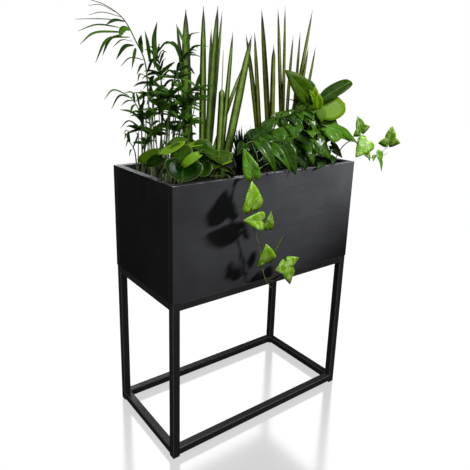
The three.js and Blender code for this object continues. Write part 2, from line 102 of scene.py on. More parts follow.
class Nodes:
    """Short calls that add nodes to one tree."""

    def __init__(self, tree):
        self.tree = tree

    def put(self, socket, value):
        if isinstance(value, bpy.types.NodeSocket):
            self.tree.links.new(value, socket)
        elif isinstance(value, tuple) and len(value) == 3 and socket.type == "RGBA":
            socket.default_value = (*value, 1)
        else:
            socket.default_value = value

    def add(self, kind, inputs=None, **settings):
        made = self.tree.nodes.new("ShaderNode" + kind)
        for key, value in settings.items():
            setattr(made, key, value)
        for key, value in (inputs or {}).items():
            self.put(made.inputs[key], value)
        return made

    def maths(self, operation, *values):
        return self.add("Math", dict(enumerate(values)), operation=operation).outputs[0]

    def plus(self, first, second):
        return self.maths("ADD", first, second)

    def minus(self, first, second):
        return self.maths("SUBTRACT", first, second)

    def times(self, first, second):
        return self.maths("MULTIPLY", first, second)

    def mixed(self, share, first, second):
        return self.add("Mix", {0: share, 6: first, 7: second}, data_type="RGBA").outputs[2]

    def spread(self, value, low, high, to_low=0.0, to_high=1.0):
        """Brings a value from low..high to to_low..to_high, eased at both ends."""
        ends = dict(enumerate((value, low, high, to_low, to_high)))
        return self.add("MapRange", ends, interpolation_type="SMOOTHSTEP").outputs[0]

    def parts_of(self, vector):
        return self.add("SeparateXYZ", {"Vector": vector}).outputs

    def place(self, stretch=(1, 1, 1)):
        """The position on the object, stretched so that a pattern runs along an axis."""
        where = self.add("TexCoord").outputs["Object"]
        return self.add("Mapping", {"Vector": where, "Scale": stretch}).outputs[0]

    def grain(self, where, scale, detail=4.0, roughness=0.55):
        inputs = {"Vector": where, "Scale": scale, "Detail": detail, "Roughness": roughness}
        return self.add("TexNoise", inputs).outputs["Fac"]

    def marks(self):
        """A leaf's marks: the place across (-1 to 1) and along (0 to 1), and the way out to its edge."""
        return self.parts_of(self.add("Attribute", attribute_name="leaf").outputs["Vector"])

    def tint(self):
        """The number that varies from leaf to leaf."""
        return self.add("Attribute", attribute_name="tint").outputs["Fac"]

    def edge_highlight_mask(self):
        """1 on the rounded edges of a squared piece, and 0 on its flat faces: where a painted highlight goes.
        """
        normal = self.add("TexCoord").outputs["Normal"]
        x, y, z = (self.maths("ABSOLUTE", side) for side in self.parts_of(normal))
        return self.spread(self.maths("MAXIMUM", self.maths("MAXIMUM", x, y), z), 0.97, 0.85)


class Finish(Nodes):
    """A material in the making, with its one shader."""

    def __init__(self, name, roughness=0.5, specular=0.5, coat=0.0, coat_roughness=0.1, metallic=0.0):
        self.material = bpy.data.materials.new(name)
        self.material.use_nodes = True
        super().__init__(self.material.node_tree)
        self.shader = self.tree.nodes["Principled BSDF"]
        values = {"Roughness": roughness, "Specular IOR Level": specular, "Coat Weight": coat,
                  "Coat Roughness": coat_roughness, "Metallic": metallic}
        for socket, value in values.items():
            self.put(self.shader.inputs[socket], value)

    def finished(self, colour, roughness=None, height=None, strength=0.0, depth=0.0):
        """Joins the colour, the roughness and a relief to the shader, and gives the material."""
        self.put(self.shader.inputs["Base Color"], colour)
        if roughness is not None:
            self.put(self.shader.inputs["Roughness"], roughness)
        relief = self.add("Bump", {"Height": height, "Strength": strength, "Distance": depth})
        self.put(self.shader.inputs["Normal"], relief.outputs[0])
        return self.material


def shaded(colour, share):
    return tuple(share * value for value in colour)


def floor_material():
    """A white floor that glows evenly, so no shadow falls on it, under a faintly mirroring lacquer."""
    made = Finish("studio_floor")
    made.tree.nodes.remove(made.shader)
    white, cool_white = (1.0, 1.0, 1.0), (0.99, 0.995, 1.0)
    cloud = made.mixed(made.grain(made.place(), 0.8), white, cool_white)
    glow = made.add("Emission", {"Color": cloud, "Strength": 1.03})
    mirror = made.add("BsdfGlossy", {"Color": white, "Roughness": 0.15}, distribution="MULTI_GGX")
    glint = made.add("Fresnel", {"IOR": 2.7}).outputs[0]
    share = made.maths("MINIMUM", made.times(glint, 1.65), made.spread(glint, 0.8, 0.5, 0.0, 0.5))
    both = made.add("MixShader", {0: share, 1: glow.outputs[0], 2: mirror.outputs[0]})
    made.put(made.tree.nodes["Material Output"].inputs["Surface"], both.outputs[0])
    return made.material


def powder_coat():
    """Satin black powder coat: fine orange peel, a little dust and a paler colour on its edges as a painted
    highlight.
    """
    made = Finish("powder_coat", roughness=0.4, specular=0.3)
    # The third colour is no bare metal but a painted highlight, laid on the rounded edges where light would
    # catch them.
    clean, dusty, bare = (0.017, 0.0172, 0.0172), (0.026, 0.026, 0.026), (0.11, 0.111, 0.114)
    peel = made.grain(made.place(), 900, 2)
    dust = made.grain(made.place(), 9, 5)
    # The edges take the painted highlight.
    colour = made.mixed(made.times(made.edge_highlight_mask(), 0.8), made.mixed(dust, clean, dusty), bare)
    return made.finished(colour, made.spread(dust, 0.3, 0.7, 0.36, 0.5), peel, 0.25, 0.0004)


def stained_board(name, along, painted_shade_factor=1.0):
    """Black stained board: a faint grain along one axis, small pores, uneven stain and a painted highlight on
    its edges; a factor below 1 darkens it all as painted shade.
    """
    made = Finish(name, roughness=0.55, specular=0.14)
    # The factor darkens both colours as painted shade.
    dark, pale = shaded((0.032, 0.0325, 0.036), painted_shade_factor), shaded((0.046, 0.047, 0.051), painted_shade_factor)
    # A painted highlight, not bare wood, laid on the rounded edges where light would catch them.
    bare = (0.13, 0.131, 0.138)
    stretch = tuple(0.06 if axis == along else 1.0 for axis in "xyz")
    grain = made.grain(made.place(stretch), 260, 6, 0.7)
    figure = made.grain(made.place(stretch), 38, 3, 0.5)
    cloud = made.grain(made.place(), 7, 4)
    stain = made.mixed(made.spread(cloud, 0.3, 0.72), dark, pale)
    lined = made.mixed(made.times(made.spread(figure, 0.35, 0.65), 0.3), stain, pale)
    pores = made.times(made.spread(grain, 0.5, 0.3), 0.3)
    stained = made.mixed(pores, lined, shaded(dark, 0.5))
    # The edges take the painted highlight.
    colour = made.mixed(made.times(made.edge_highlight_mask(), 0.7), stained, bare)
    return made.finished(colour, made.spread(grain, 0.3, 0.7, 0.7, 0.52), grain, 0.35, 0.0006)


def raw_wood(name, colour, along):
    """Unpainted board: streaks of darker rings and fine fibres along one axis."""
    made = Finish(name, roughness=0.8, specular=0.25)
    deep = shaded(colour, 0.45)
    stretch = tuple(0.05 if axis == along else 1.0 for axis in "xyz")
    waves = {"Vector": made.place(stretch), "Scale": 42.0, "Distortion": 5.0, "Detail": 3.0}
    rings = made.add("TexWave", waves).outputs["Fac"]
    fibre = made.grain(made.place(stretch), 600, 4)
    streaks = made.mixed(made.spread(rings, 0.2, 0.9), colour, deep)
    return made.finished(made.mixed(made.times(fibre, 0.4), streaks, deep), None, fibre, 0.4, 0.0005)


def moulded_plastic(name, colour, roughness, texture):
    """Plastic with a fine moulded skin and patches of dust."""
    made = Finish(name, roughness)
    skin = made.grain(made.place(), texture, 3)
    dust = made.grain(made.place(), 14, 5)
    dusty = tuple(1.5 * value + 0.002 for value in colour)
    coated = made.mixed(made.spread(dust, 0.45, 0.8), colour, dusty)
    rough = made.spread(dust, 0.3, 0.75, roughness, roughness + 0.2)
    return made.finished(coated, rough, skin, 0.2, 0.0003)


def zinc():
    """Zinc plate with a faint spangle."""
    made = Finish("zinc_plate", roughness=0.35, metallic=1.0)
    dull, bright = (0.42, 0.43, 0.45), (0.66, 0.67, 0.68)
    spangle = made.grain(made.place((1, 1, 0.2)), 420, 3)
    rough = made.spread(spangle, 0.3, 0.7, 0.28, 0.48)
    return made.finished(made.mixed(spangle, dull, bright), rough, spangle, 0.15, 0.0002)


def potting_soil():
    """Dark soil: crumbs, damp patches and pale bits of fibre."""
    made = Finish("potting_soil", roughness=0.95, specular=0.15)
    wet, moist, straw = (0.008, 0.005, 0.0035), (0.035, 0.021, 0.013), (0.12, 0.09, 0.06)
    crumbs = made.add("TexVoronoi", {"Vector": made.place(), "Scale": 260.0}).outputs["Distance"]
    brown = made.mixed(made.grain(made.place(), 30, 5), wet, moist)
    bits = made.spread(made.grain(made.place(), 700, 3), 0.66, 0.72)
    return made.finished(made.mixed(made.times(bits, 0.5), brown, straw), None, crumbs, 0.9, 0.003)


def leaf_material(name, dark, light, rib, edge, roughness, specular=0.22, coat=0.0, veins=9.0, vein_lean=9.0,
                  vein_share=0.3, rib_width=0.09, rib_share=0.8, edge_start=0.9, edge_share=0.0,
                  mottling=70, patch_share=0.0, patch_start=0.75, relief=0.4):
    """A leaf: two greens that vary from leaf to leaf, a midrib, side veins, an edge and mottling."""
    made = Finish(name, roughness, specular, coat, coat_roughness=0.2)
    parts = made.marks()
    across = made.maths("ABSOLUTE", parts["X"])
    cells = made.grain(made.place(), mottling, 4)
    shade = made.plus(made.times(made.tint(), 0.75), made.times(cells, 0.35))
    colour = made.mixed(made.spread(shade, 0.12, 0.95), dark, light)
    beat = made.minus(made.times(parts["Y"], veins * math.tau), made.times(across, vein_lean))
    vein = made.spread(made.maths("SINE", beat), 0.72, 1.0)
    colour = made.mixed(made.times(vein, vein_share), colour, rib)
    patches = made.spread(cells, patch_start, patch_start + 0.1)
    colour = made.mixed(made.times(patches, patch_share), colour, rib)
    middle = made.spread(across, rib_width, 0.02)
    colour = made.mixed(made.times(middle, rib_share), colour, rib)
    colour = made.mixed(made.times(made.spread(parts["Z"], edge_start, 1.0), edge_share), colour, edge)
    rough = made.spread(cells, 0.3, 0.7, roughness - 0.06, roughness + 0.08)
    height = made.minus(made.times(cells, 0.5), made.plus(made.times(vein, 0.5), middle))
    return made.finished(colour, rough, height, relief, 0.001)


def sword_material(name, flank, lit_streak, dead):
    """A rod-like leaf: dark flanks, a pale streak up its groove set off to one side as painted light, faint
    cross bands, a dry tip.
    """
    made = Finish(name, 0.45, 0.2)
    parts = made.marks()
    bands = made.grain(made.place((4, 4, 13)), 4, 5)
    fibres = made.grain(made.place((60, 60, 1.2)), 12, 3)
    uneven = made.times(made.minus(fibres, 0.5), 0.5)
    # The pale streak sits off the middle, so that one flank is paler than the other: the leaf's own streak,
    # moved over as a painted lit side.
    around = made.plus(made.maths("ABSOLUTE", made.plus(parts["X"], 0.12)), uneven)
    flank_shade = made.mixed(made.spread(bands, 0.38, 0.6), shaded(flank, 0.4), flank)
    lit_streak_banded = made.mixed(made.spread(bands, 0.3, 0.6), shaded(lit_streak, 0.75), lit_streak)
    lit_streak_width = made.plus(made.times(made.tint(), 0.16), 0.24)
    lined = made.mixed(made.spread(around, lit_streak_width, 0.05), flank_shade, lit_streak_banded)
    lined = made.mixed(made.times(made.spread(fibres, 0.55, 0.75), 0.3), lined, lit_streak)
    colour = made.mixed(made.spread(parts["Y"], 0.86, 0.97), lined, dead)
    return made.finished(colour, made.spread(bands, 0.3, 0.7, 0.38, 0.55), fibres, 0.35, 0.0012)


def stem_material(name, young, old):
    """A stem that ages from its tip to its foot, with darker blotches."""
    made = Finish(name, 0.55, 0.2)
    blotch = made.grain(made.place(), 120, 4)
    aged = made.mixed(made.spread(made.marks()["Y"], 0.1, 0.9), old, young)
    share = made.times(made.spread(blotch, 0.5, 0.7), 0.4)
    return made.finished(made.mixed(share, aged, shaded(old, 0.4)), None, blotch, 0.3, 0.0006)


# ---- Camera, light and floor ----

def add_camera():
    data = bpy.data.cameras.new("camera")
    data.lens = 37.1
    data.shift_x = 0.079
    data.shift_y = -0.062
    camera = add_object("camera", data)
    heading, dip, tilt = math.radians(34.29), math.radians(15.38), math.radians(0.61)
    turn = Euler((math.pi / 2 - dip, 0, -heading)).to_matrix() @ Matrix.Rotation(tilt, 3, "Z")
    camera.rotation_euler = turn.to_euler()
    camera.location = spot(-825, -1018, 237)
    bpy.context.scene.camera = camera


def add_light(name, kind, place, aim, power, onto=None, **settings):
    """A light aimed at a point, which lights only the collection onto where one is given."""
    data = bpy.data.lights.new(name, kind)
    data.energy = power
    for key, value in settings.items():
        setattr(data, key, value)
    light = add_object(name, data)
    light.location = place
    light.rotation_euler = (place - aim).to_track_quat("Z", "Y").to_euler()
    light.light_linking.receiver_collection = onto
    light.visible_glossy = kind != "SPOT"


def add_world():
    """White behind everything, and faint for the light that it sheds and in reflections."""
    world = bpy.data.worlds.new("studio")
    bpy.context.scene.world = world
    world.use_nodes = True
    made = Nodes(world.node_tree)
    ray = made.add("LightPath").outputs
    height = made.parts_of(made.add("TexCoord").outputs["Generated"])["Z"]
    reflected = made.times(ray["Is Glossy Ray"], made.spread(height, -0.1, 0.8, 0.01, 0.07))
    fill = made.times(ray["Is Diffuse Ray"], made.spread(height, -0.3, 0.9, 0.015, 0.12))
    shade = world.node_tree.nodes["Background"].inputs
    made.put(shade["Color"], (1.0, 1.0, 1.0))
    made.put(shade["Strength"], made.plus(made.plus(reflected, fill), ray["Is Camera Ray"]))


PLANTS_MIDDLE = (0, -60, 150)
# Round soft lights: name, place, aim, power in watts, what they light, and width in metres.
SOFT_LIGHTS = [
    ("sky", (-300, 200, 1900), PLANTS_MIDDLE, 12, None, 1.4),
    ("rim_light", (-200, -100, 1300), (0, 0, 0), 60, BOARDS, 0.6),
    ("board_left", (-1700, -300, 500), (-300, 0, -100), 2.2, BOARDS, 0.8),
    ("steel_front", (500, -1700, 0), (0, -150, -400), 11, STEEL, 1.0),
    ("steel_top", (300, -700, 1500), (0, -150, -300), 21, STEEL, 0.6),
    ("steel_left", (-1900, -300, 0), (-200, -50, -400), 12, STEEL, 1.0),
    ("leaf_key", (760, -820, 1000), PLANTS_MIDDLE, 20, GREENERY, 0.4),
    ("leaf_fill", (-900, -1400, 700), PLANTS_MIDDLE, 8, GREENERY, 1.0),
    ("back_greenery", (500, 1900, 700), PLANTS_MIDDLE, 9, GREENERY, 1.0),
    ("back_boards", (500, 1900, 700), PLANTS_MIDDLE, 16, BOARDS, 1.0),
    ("back_steel", (500, 1900, 700), PLANTS_MIDDLE, 10, STEEL, 1.0),
]


def add_studio():
    bpy.context.scene.view_settings.view_transform = "Standard"
    add_world()
    for name, place, aim, power, onto, width in SOFT_LIGHTS:
        add_light(name, "AREA", spot(*place), spot(*aim), power, onto, shape="DISK", size=width)
    add_light("board_key", "SPOT", spot(1000, -640, 330), spot(110, -150, 140), 195, BOARDS,
              spot_size=math.radians(52), spot_blend=1.0, shadow_soft_size=0.06)
    floor = add_floor()
    level = UP * (WALL_HIGH / 2)
    for k in range(WALLS):
        turn = math.tau * k / WALLS
        foot = Vector((math.cos(turn), math.sin(turn), 0)) * WALL_AWAY
        add_light(f"wall_{k}", "AREA", foot + level, level, math.pi * WALL_HIGH * WALL_WIDE, floor,
                  shape="RECTANGLE", size=WALL_WIDE, size_y=WALL_HIGH)
    add_light("roof", "AREA", UP * WALL_HIGH, Vector(), math.pi * (2 * WALL_AWAY) ** 2, floor,
              shape="SQUARE", size=2 * WALL_AWAY)


def add_floor():
    """A wide disc under the feet, which the white walls around it light alone."""
    form = bmesh.new()
    bmesh.ops.create_circle(form, cap_ends=True, radius=FLOOR_RADIUS, segments=64)
    floor = add_object("floor", bpy.data.meshes.new("floor"))
    form.to_mesh(floor.data)
    form.free()
    floor.location.z = cad_box[0].z
    floor.visible_diffuse = False
    floor.visible_glossy = False
    floor.data.materials.append(floor_material())
    lit = bpy.data.collections.new("floor_only")
    lit.objects.link(floor)
    return lit


# ---- Foliage meshes ----

def smooth_path(points, steps=6):
    """Points along a Catmull-Rom curve through the given ones."""
    ends = [2 * points[0] - points[1], *points, 2 * points[-1] - points[-2]]
    path = []
    for before, a, b, after in zip(ends, ends[1:], ends[2:], ends[3:]):
        for k in range(steps):
            t = k / steps
            path.append(0.5 * (2 * a + (b - before) * t + (2 * before - 5 * a + 4 * b - after) * t * t
                               + (3 * a - before - 3 * b + after) * t ** 3))
    path.append(points[-1].copy())
    return path


def arc(start, middle, end, steps=8):
    return [start * (1 - t) ** 2 + middle * (2 * t * (1 - t)) + end * t * t
            for t in (k / steps for k in range(steps + 1))]


def between(profile, t):
    """The value at t of a line through (place, value) pairs."""
    for (t0, v0), (t1, v1) in zip(profile, profile[1:]):
        if t <= t1:
            return v0 + (v1 - v0) * (t - t0) / (t1 - t0)
    return profile[-1][1]


def upright_to(face, ahead):
    """The part of face that stands square to ahead."""
    return (face - ahead * face.dot(ahead)).normalized()


def dome_way(turn, rise):
    """The way out of the middle of a dome, at a turn round it and a share of its height."""
    level = math.sqrt(1 - rise * rise)
    return Vector((math.cos(turn) * level, math.sin(turn) * level, rise))


class Foliage:
    """Gathers closed leaves and stems into one mesh, with the marks that their materials read."""

    LEAF, STEM = 0, 1
    LEAF_THICK = 0.9 * MM
    STRAP_THICK = 0.7 * MM
    LEAF_RINGS = 3
    CENTRE = Vector((0, 0.38, 0))

    def __init__(self, name, *materials):
        self.name = name
        self.materials = materials
        self.points = []
        self.faces = []
        self.slots = []
        self.marks = []
        self.tints = []

    def loft(self, rings, marks, tint, slot):
        """Closes a row of rings into one form with a face at each end."""
        around = len(rings[0])
        first = len(self.points)
        for ring, ring_marks in zip(rings, marks):
            self.points += ring
            self.marks += ring_marks
        for i in range(len(rings) - 1):
            for j in range(around):
                a = first + i * around + j
                b = first + i * around + (j + 1) % around
                self.faces.append((a, b, b + around, a + around))
        last = first + (len(rings) - 1) * around
        self.faces.append(tuple(range(first + around - 1, first - 1, -1)))
        self.faces.append(tuple(range(last, last + around)))
        self.slots += [slot] * ((len(rings) - 1) * around + 2)
        self.tints += [tint] * (len(rings) * around)

    def rod(self, path, across_face, shape, widths, tint, slot=LEAF):
        """Lofts a section along a path: shape holds (across, out, mark, edge), and widths half sizes."""
        rings, marks = [], []
        last = len(path) - 1
        for i, point in enumerate(path):
            ahead = (path[min(i + 1, last)] - path[max(i - 1, 0)]).normalized()
            out = upright_to(across_face, ahead)
            side = ahead.cross(out)
            half, thick = widths(i / last)
            rings.append([point + side * (u * half) + out * (w * thick) for u, w, _, _ in shape])
            marks.append([(mark, i / last, edge) for _, _, mark, edge in shape])
        self.loft(rings, marks, tint, slot)

    def stem(self, path, radius, end=None, sides=6):
        """A round stem that thins from one radius to another, both in mm."""
        end = radius if end is None else end
        shape = [(math.cos(a), math.sin(a), 0, 0) for a in (math.tau * k / sides for k in range(sides))]
        self.rod(path, Vector((0.3, -0.8, 0.52)), shape, lambda t: ((radius + (end - radius) * t) * MM,) * 2,
                 0.5, self.STEM)

    def strap(self, path, face, width, profile, fold, tint):
        """A narrow leaf, with its width in mm, folded up on both sides of its midrib."""
        over = [(-1, 1), (-0.5, 0.35), (0, 0), (0.5, 0.35), (1, 1)]
        under = [(0.5, 0.1), (0, -0.3), (-0.5, 0.1)]
        shape = [(across, out, across, abs(across)) for across, out in over + under]

        def widths(t):
            half = max(width * MM / 2 * between(profile, t), self.STRAP_THICK * 0.3)
            return half, max(half * fold, self.STRAP_THICK)

        self.rod(path, face, shape, widths, tint)

    def leaf(self, base, tip, face, outline, width=1.0, bend=0.0, fold=0.0, cup=0.0, wave=0.0, tint=0.5):
        """A broad closed leaf from base to tip.

        outline is its right half, as strokes of (across, along) in leaf lengths, bend curls its
        length down, fold and cup raise its sides, and wave ripples its edge.
        """
        reach = tip - base
        bent = abs(bend) > 0.01
        half_bend = bend / 2
        length = reach.length * (half_bend / math.sin(half_bend) if bent else 1)
        chord = reach.normalized()
        up = upright_to(face, chord)
        ahead = chord * math.cos(half_bend) + up * math.sin(half_bend)
        up = up * math.cos(half_bend) - chord * math.sin(half_bend)
        side = ahead.cross(up)
        around = self.whole(outline, width)
        widest = max(p.x for p in around)

        def put_point(p, share):
            """The middle of the leaf's thickness at p, and the way to its upper face."""
            angle = bend * p.y
            along = ahead * p.y
            if bent:
                along = ahead * (math.sin(angle) / bend) - up * ((1 - math.cos(angle)) / bend)
            out = up * math.cos(angle) + ahead * math.sin(angle)
            x = abs(p.x)
            ripple = wave * share * math.sin(p.y * 15 + (2.1 if p.x > 0 else 0) + tint * 9)
            height = fold * x + cup * (x * x + 0.5 * (p.y - 0.4) ** 2) + ripple * x
            middle = base + (along + side * p.x + out * height) * length
            return middle, out * (self.LEAF_THICK * (1 - 0.5 * share) / 2)

        top, under, marks = [], [], []
        for ring in range(self.LEAF_RINGS + 1):
            share = ring / self.LEAF_RINGS
            for p in (around if ring else [self.CENTRE]):
                q = self.CENTRE + (p - self.CENTRE) * share
                middle, half = put_point(q, share)
                top.append(middle + half)
                under.append(middle - half)
                marks.append((q.x / widest, q.y, share))
        self.close(top, under, marks, len(around), tint)

    @staticmethod
    def whole(outline, width):
        """All the corners of a leaf, once round, from the strokes of its right half."""
        right = []
        for stroke in outline:
            corners = [Vector((x * width, y, 0)) for x, y in stroke]
            right += (smooth_path(corners, 3) if len(corners) > 2 else corners)[:-1]
        right.append(Vector((outline[-1][-1][0] * width, outline[-1][-1][1], 0)))
        left = [Vector((-p.x, p.y, 0)) for p in right[-2:0 if right[0].x < 1e-6 else None:-1]]
        return right + left

    def close(self, top, under, marks, sides, tint):
        """Joins the upper and lower points of a leaf, each a heart and rings around it, into one form."""
        first, count = len(self.points), len(top)
        made = len(self.faces)
        self.points += top + under
        self.marks += marks * 2
        self.tints += [tint] * (2 * count)
        for j in range(sides):
            k = (j + 1) % sides
            for flip, offset in ((False, first), (True, first + count)):
                rows = [(offset, offset + 1 + j, offset + 1 + k)]
                for i in range(self.LEAF_RINGS - 1):
                    a, b = offset + 1 + i * sides + j, offset + 1 + i * sides + k
                    rows.append((a, a + sides, b + sides, b))
                self.faces += [tuple(reversed(row)) if flip else row for row in rows]
            rim = first + 1 + (self.LEAF_RINGS - 1) * sides
            self.faces.append((rim + j, rim + j + count, rim + k + count, rim + k))
        self.slots += [self.LEAF] * (len(self.faces) - made)

    def build(self, body, slot_name, *nodes):
        mesh = bpy.data.meshes.new(self.name)
        mesh.from_pydata(self.points, [], self.faces)
        marks = mesh.attributes.new("leaf", "FLOAT_VECTOR", "POINT")
        marks.data.foreach_set("vector", [value for mark in self.marks for value in mark])
        tints = mesh.attributes.new("tint", "FLOAT", "POINT")
        tints.data.foreach_set("value", self.tints)
        for material in self.materials:
            mesh.materials.append(material)
        mesh.polygons.foreach_set("material_index", self.slots)
        form = bmesh.new()
        form.from_mesh(mesh)
        add_piece(self.name, mesh, form, body, slot_name, *nodes)


def add_piece(name, mesh, form, body, slot_name, *nodes):
    """Puts the form in the mesh, smooth and facing out, and the piece on its body for its nodes."""
    bmesh.ops.recalc_face_normals(form, faces=form.faces)
    form.to_mesh(mesh)
    form.free()
    mesh.polygons.foreach_set("use_smooth", [True] * len(mesh.polygons))
    made = add_object(name, mesh)
    GREENERY.objects.link(made)
    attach(made, body)
    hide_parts(*nodes)


# Half outlines of leaves: strokes of (across, along) from the stalk to the tip, in leaf lengths.
OVAL = [[(0.0, 0.0), (0.16, 0.06), (0.3, 0.3), (0.27, 0.6), (0.12, 0.86), (0.0, 1.0)]]
ROUND = [[(0.0, 0.04), (0.22, -0.02), (0.44, 0.2), (0.47, 0.52), (0.3, 0.86), (0.0, 1.0)]]
HEART = [[(0.0, 0.08), (0.14, -0.05), (0.32, 0.04), (0.36, 0.3), (0.22, 0.64), (0.07, 0.9), (0.0, 1.0)]]
OBLONG = [[(0.0, 0.0), (0.1, 0.05), (0.2, 0.3), (0.2, 0.66), (0.13, 0.92), (0.0, 1.0)]]
LANCE = [[(0.0, 0.0), (0.08, 0.1), (0.17, 0.38), (0.13, 0.7), (0.0, 1.0)]]
IVY = [
    [(0.0, 0.1), (0.08, -0.06), (0.24, -0.02), (0.5, 0.16)],
    [(0.5, 0.16), (0.38, 0.32), (0.25, 0.42)],
    [(0.25, 0.42), (0.2, 0.66), (0.0, 1.0)],
]

# ---- Sword plants: rod leaves with a groove, from foot to tip ----

# Each rosette: its blades as foot (x, y), tip, width and bow, as their solids stand, and the kind
# of tip where it isn't a plain point.
SWORDS_LEFT = [
    [
        ((-104, 81), (-144, 85, 354), 15, 8),
        ((-116, 62), (-131, 62, 388), 27, -3),
        ((-88, 44), (-93, 40, 396), 19, 0),
    ],
    [
        ((-38, 92), (-31, 92, 351), 13, 0),
        ((-60, 68), (-33, 62, 403), 21, 0),
        ((-45, 80), (-7, 78, 394), 12, 0),
    ],
    [
        ((-56, 26), (-38, 28, 295), 18, 4, "broken"),
        ((-27, 48), (9, 50, 342), 14, 0),
        ((-72, 55), (71, 66, 273), 13, -9),
        ((-32, 34), (61, 35, 334), 24, 0),
    ],
]
SWORDS_RIGHT = [
    [((156, 80), (80, 82, 342), 15, 6), ((143, 60), (92, 60, 347), 13, 0)],
    [((191, 76), (128, 76, 408), 17, 2), ((176, 52), (156, 50, 316), 18, -2, "blunt")],
    [((244, 78), (189, 76, 416), 13, 1), ((222, 60), (196, 55, 420), 10, 2)],
    [((206, 28), (215, 35, 342), 10, -6), ((230, 34), (247, 40, 354), 10, 0)],
    [
        ((176, 20), (278, 28, 413), 13, 4),
        ((178, 4), (255, 12, 313), 12, 4),
        ((196, 2), (267, -4, 311), 10, 4),
    ],
]
SWORD_WIDTHS = {
    "pointed": [(0, 0.85), (0.2, 1.0), (0.6, 0.96), (0.82, 0.74), (0.93, 0.42), (0.975, 0.14), (1, 0.04)],
    "blunt": [(0, 0.85), (0.2, 1.0), (0.7, 0.9), (0.9, 0.7), (0.94, 0.5), (0.96, 0.14), (1, 0.05)],
    "broken": [(0, 0.85), (0.3, 1.0), (0.7, 0.95), (0.72, 0.88), (0.724, 0.17), (0.92, 0.13), (1, 0.05)],
}
SWORD_FACE = Vector((-0.3, -0.95, 0))
SWORD_STEPS = 40


def groove_section(sides=16):
    """A round section with a shallow groove on the side that faces out."""
    section = []
    for k in range(sides):
        angle = math.tau * k / sides
        turn = math.atan2(math.sin(angle), math.cos(angle))
        size = 1 - 0.3 * math.exp(-(turn / 0.42) ** 2)
        section.append((math.sin(angle) * size, math.cos(angle) * size, turn / math.pi, 0))
    return section


def add_swords(prefix, rosettes, material, slot_name, seed):
    chance = random.Random(seed)
    for number, blades in enumerate(rosettes, 1):
        plant = Foliage(f"{prefix}_{number}_leaves", material)
        for (x, y), tip, width, bow, *kind in blades:
            profile = SWORD_WIDTHS[kind[0] if kind else "pointed"]
            foot = spot(x, y, SOIL - 8)
            end = spot(*tip)
            middle = (foot + end) / 2 + Vector((2 * bow * MM, 0, 0))
            turn = Matrix.Rotation(chance.uniform(-0.5, 0.5), 3, "Z") @ SWORD_FACE

            def widths(t, width=width, profile=profile):
                half = width * MM / 2 * between(profile, t)
                return half, 0.8 * half

            plant.rod(arc(foot, middle, end, SWORD_STEPS), turn, groove_section(), widths, chance.random())
        plant.build("insert", slot_name, f"{prefix}_{number}")


# ---- Parlour palm: canes, arching midribs and narrow drooping leaflets ----

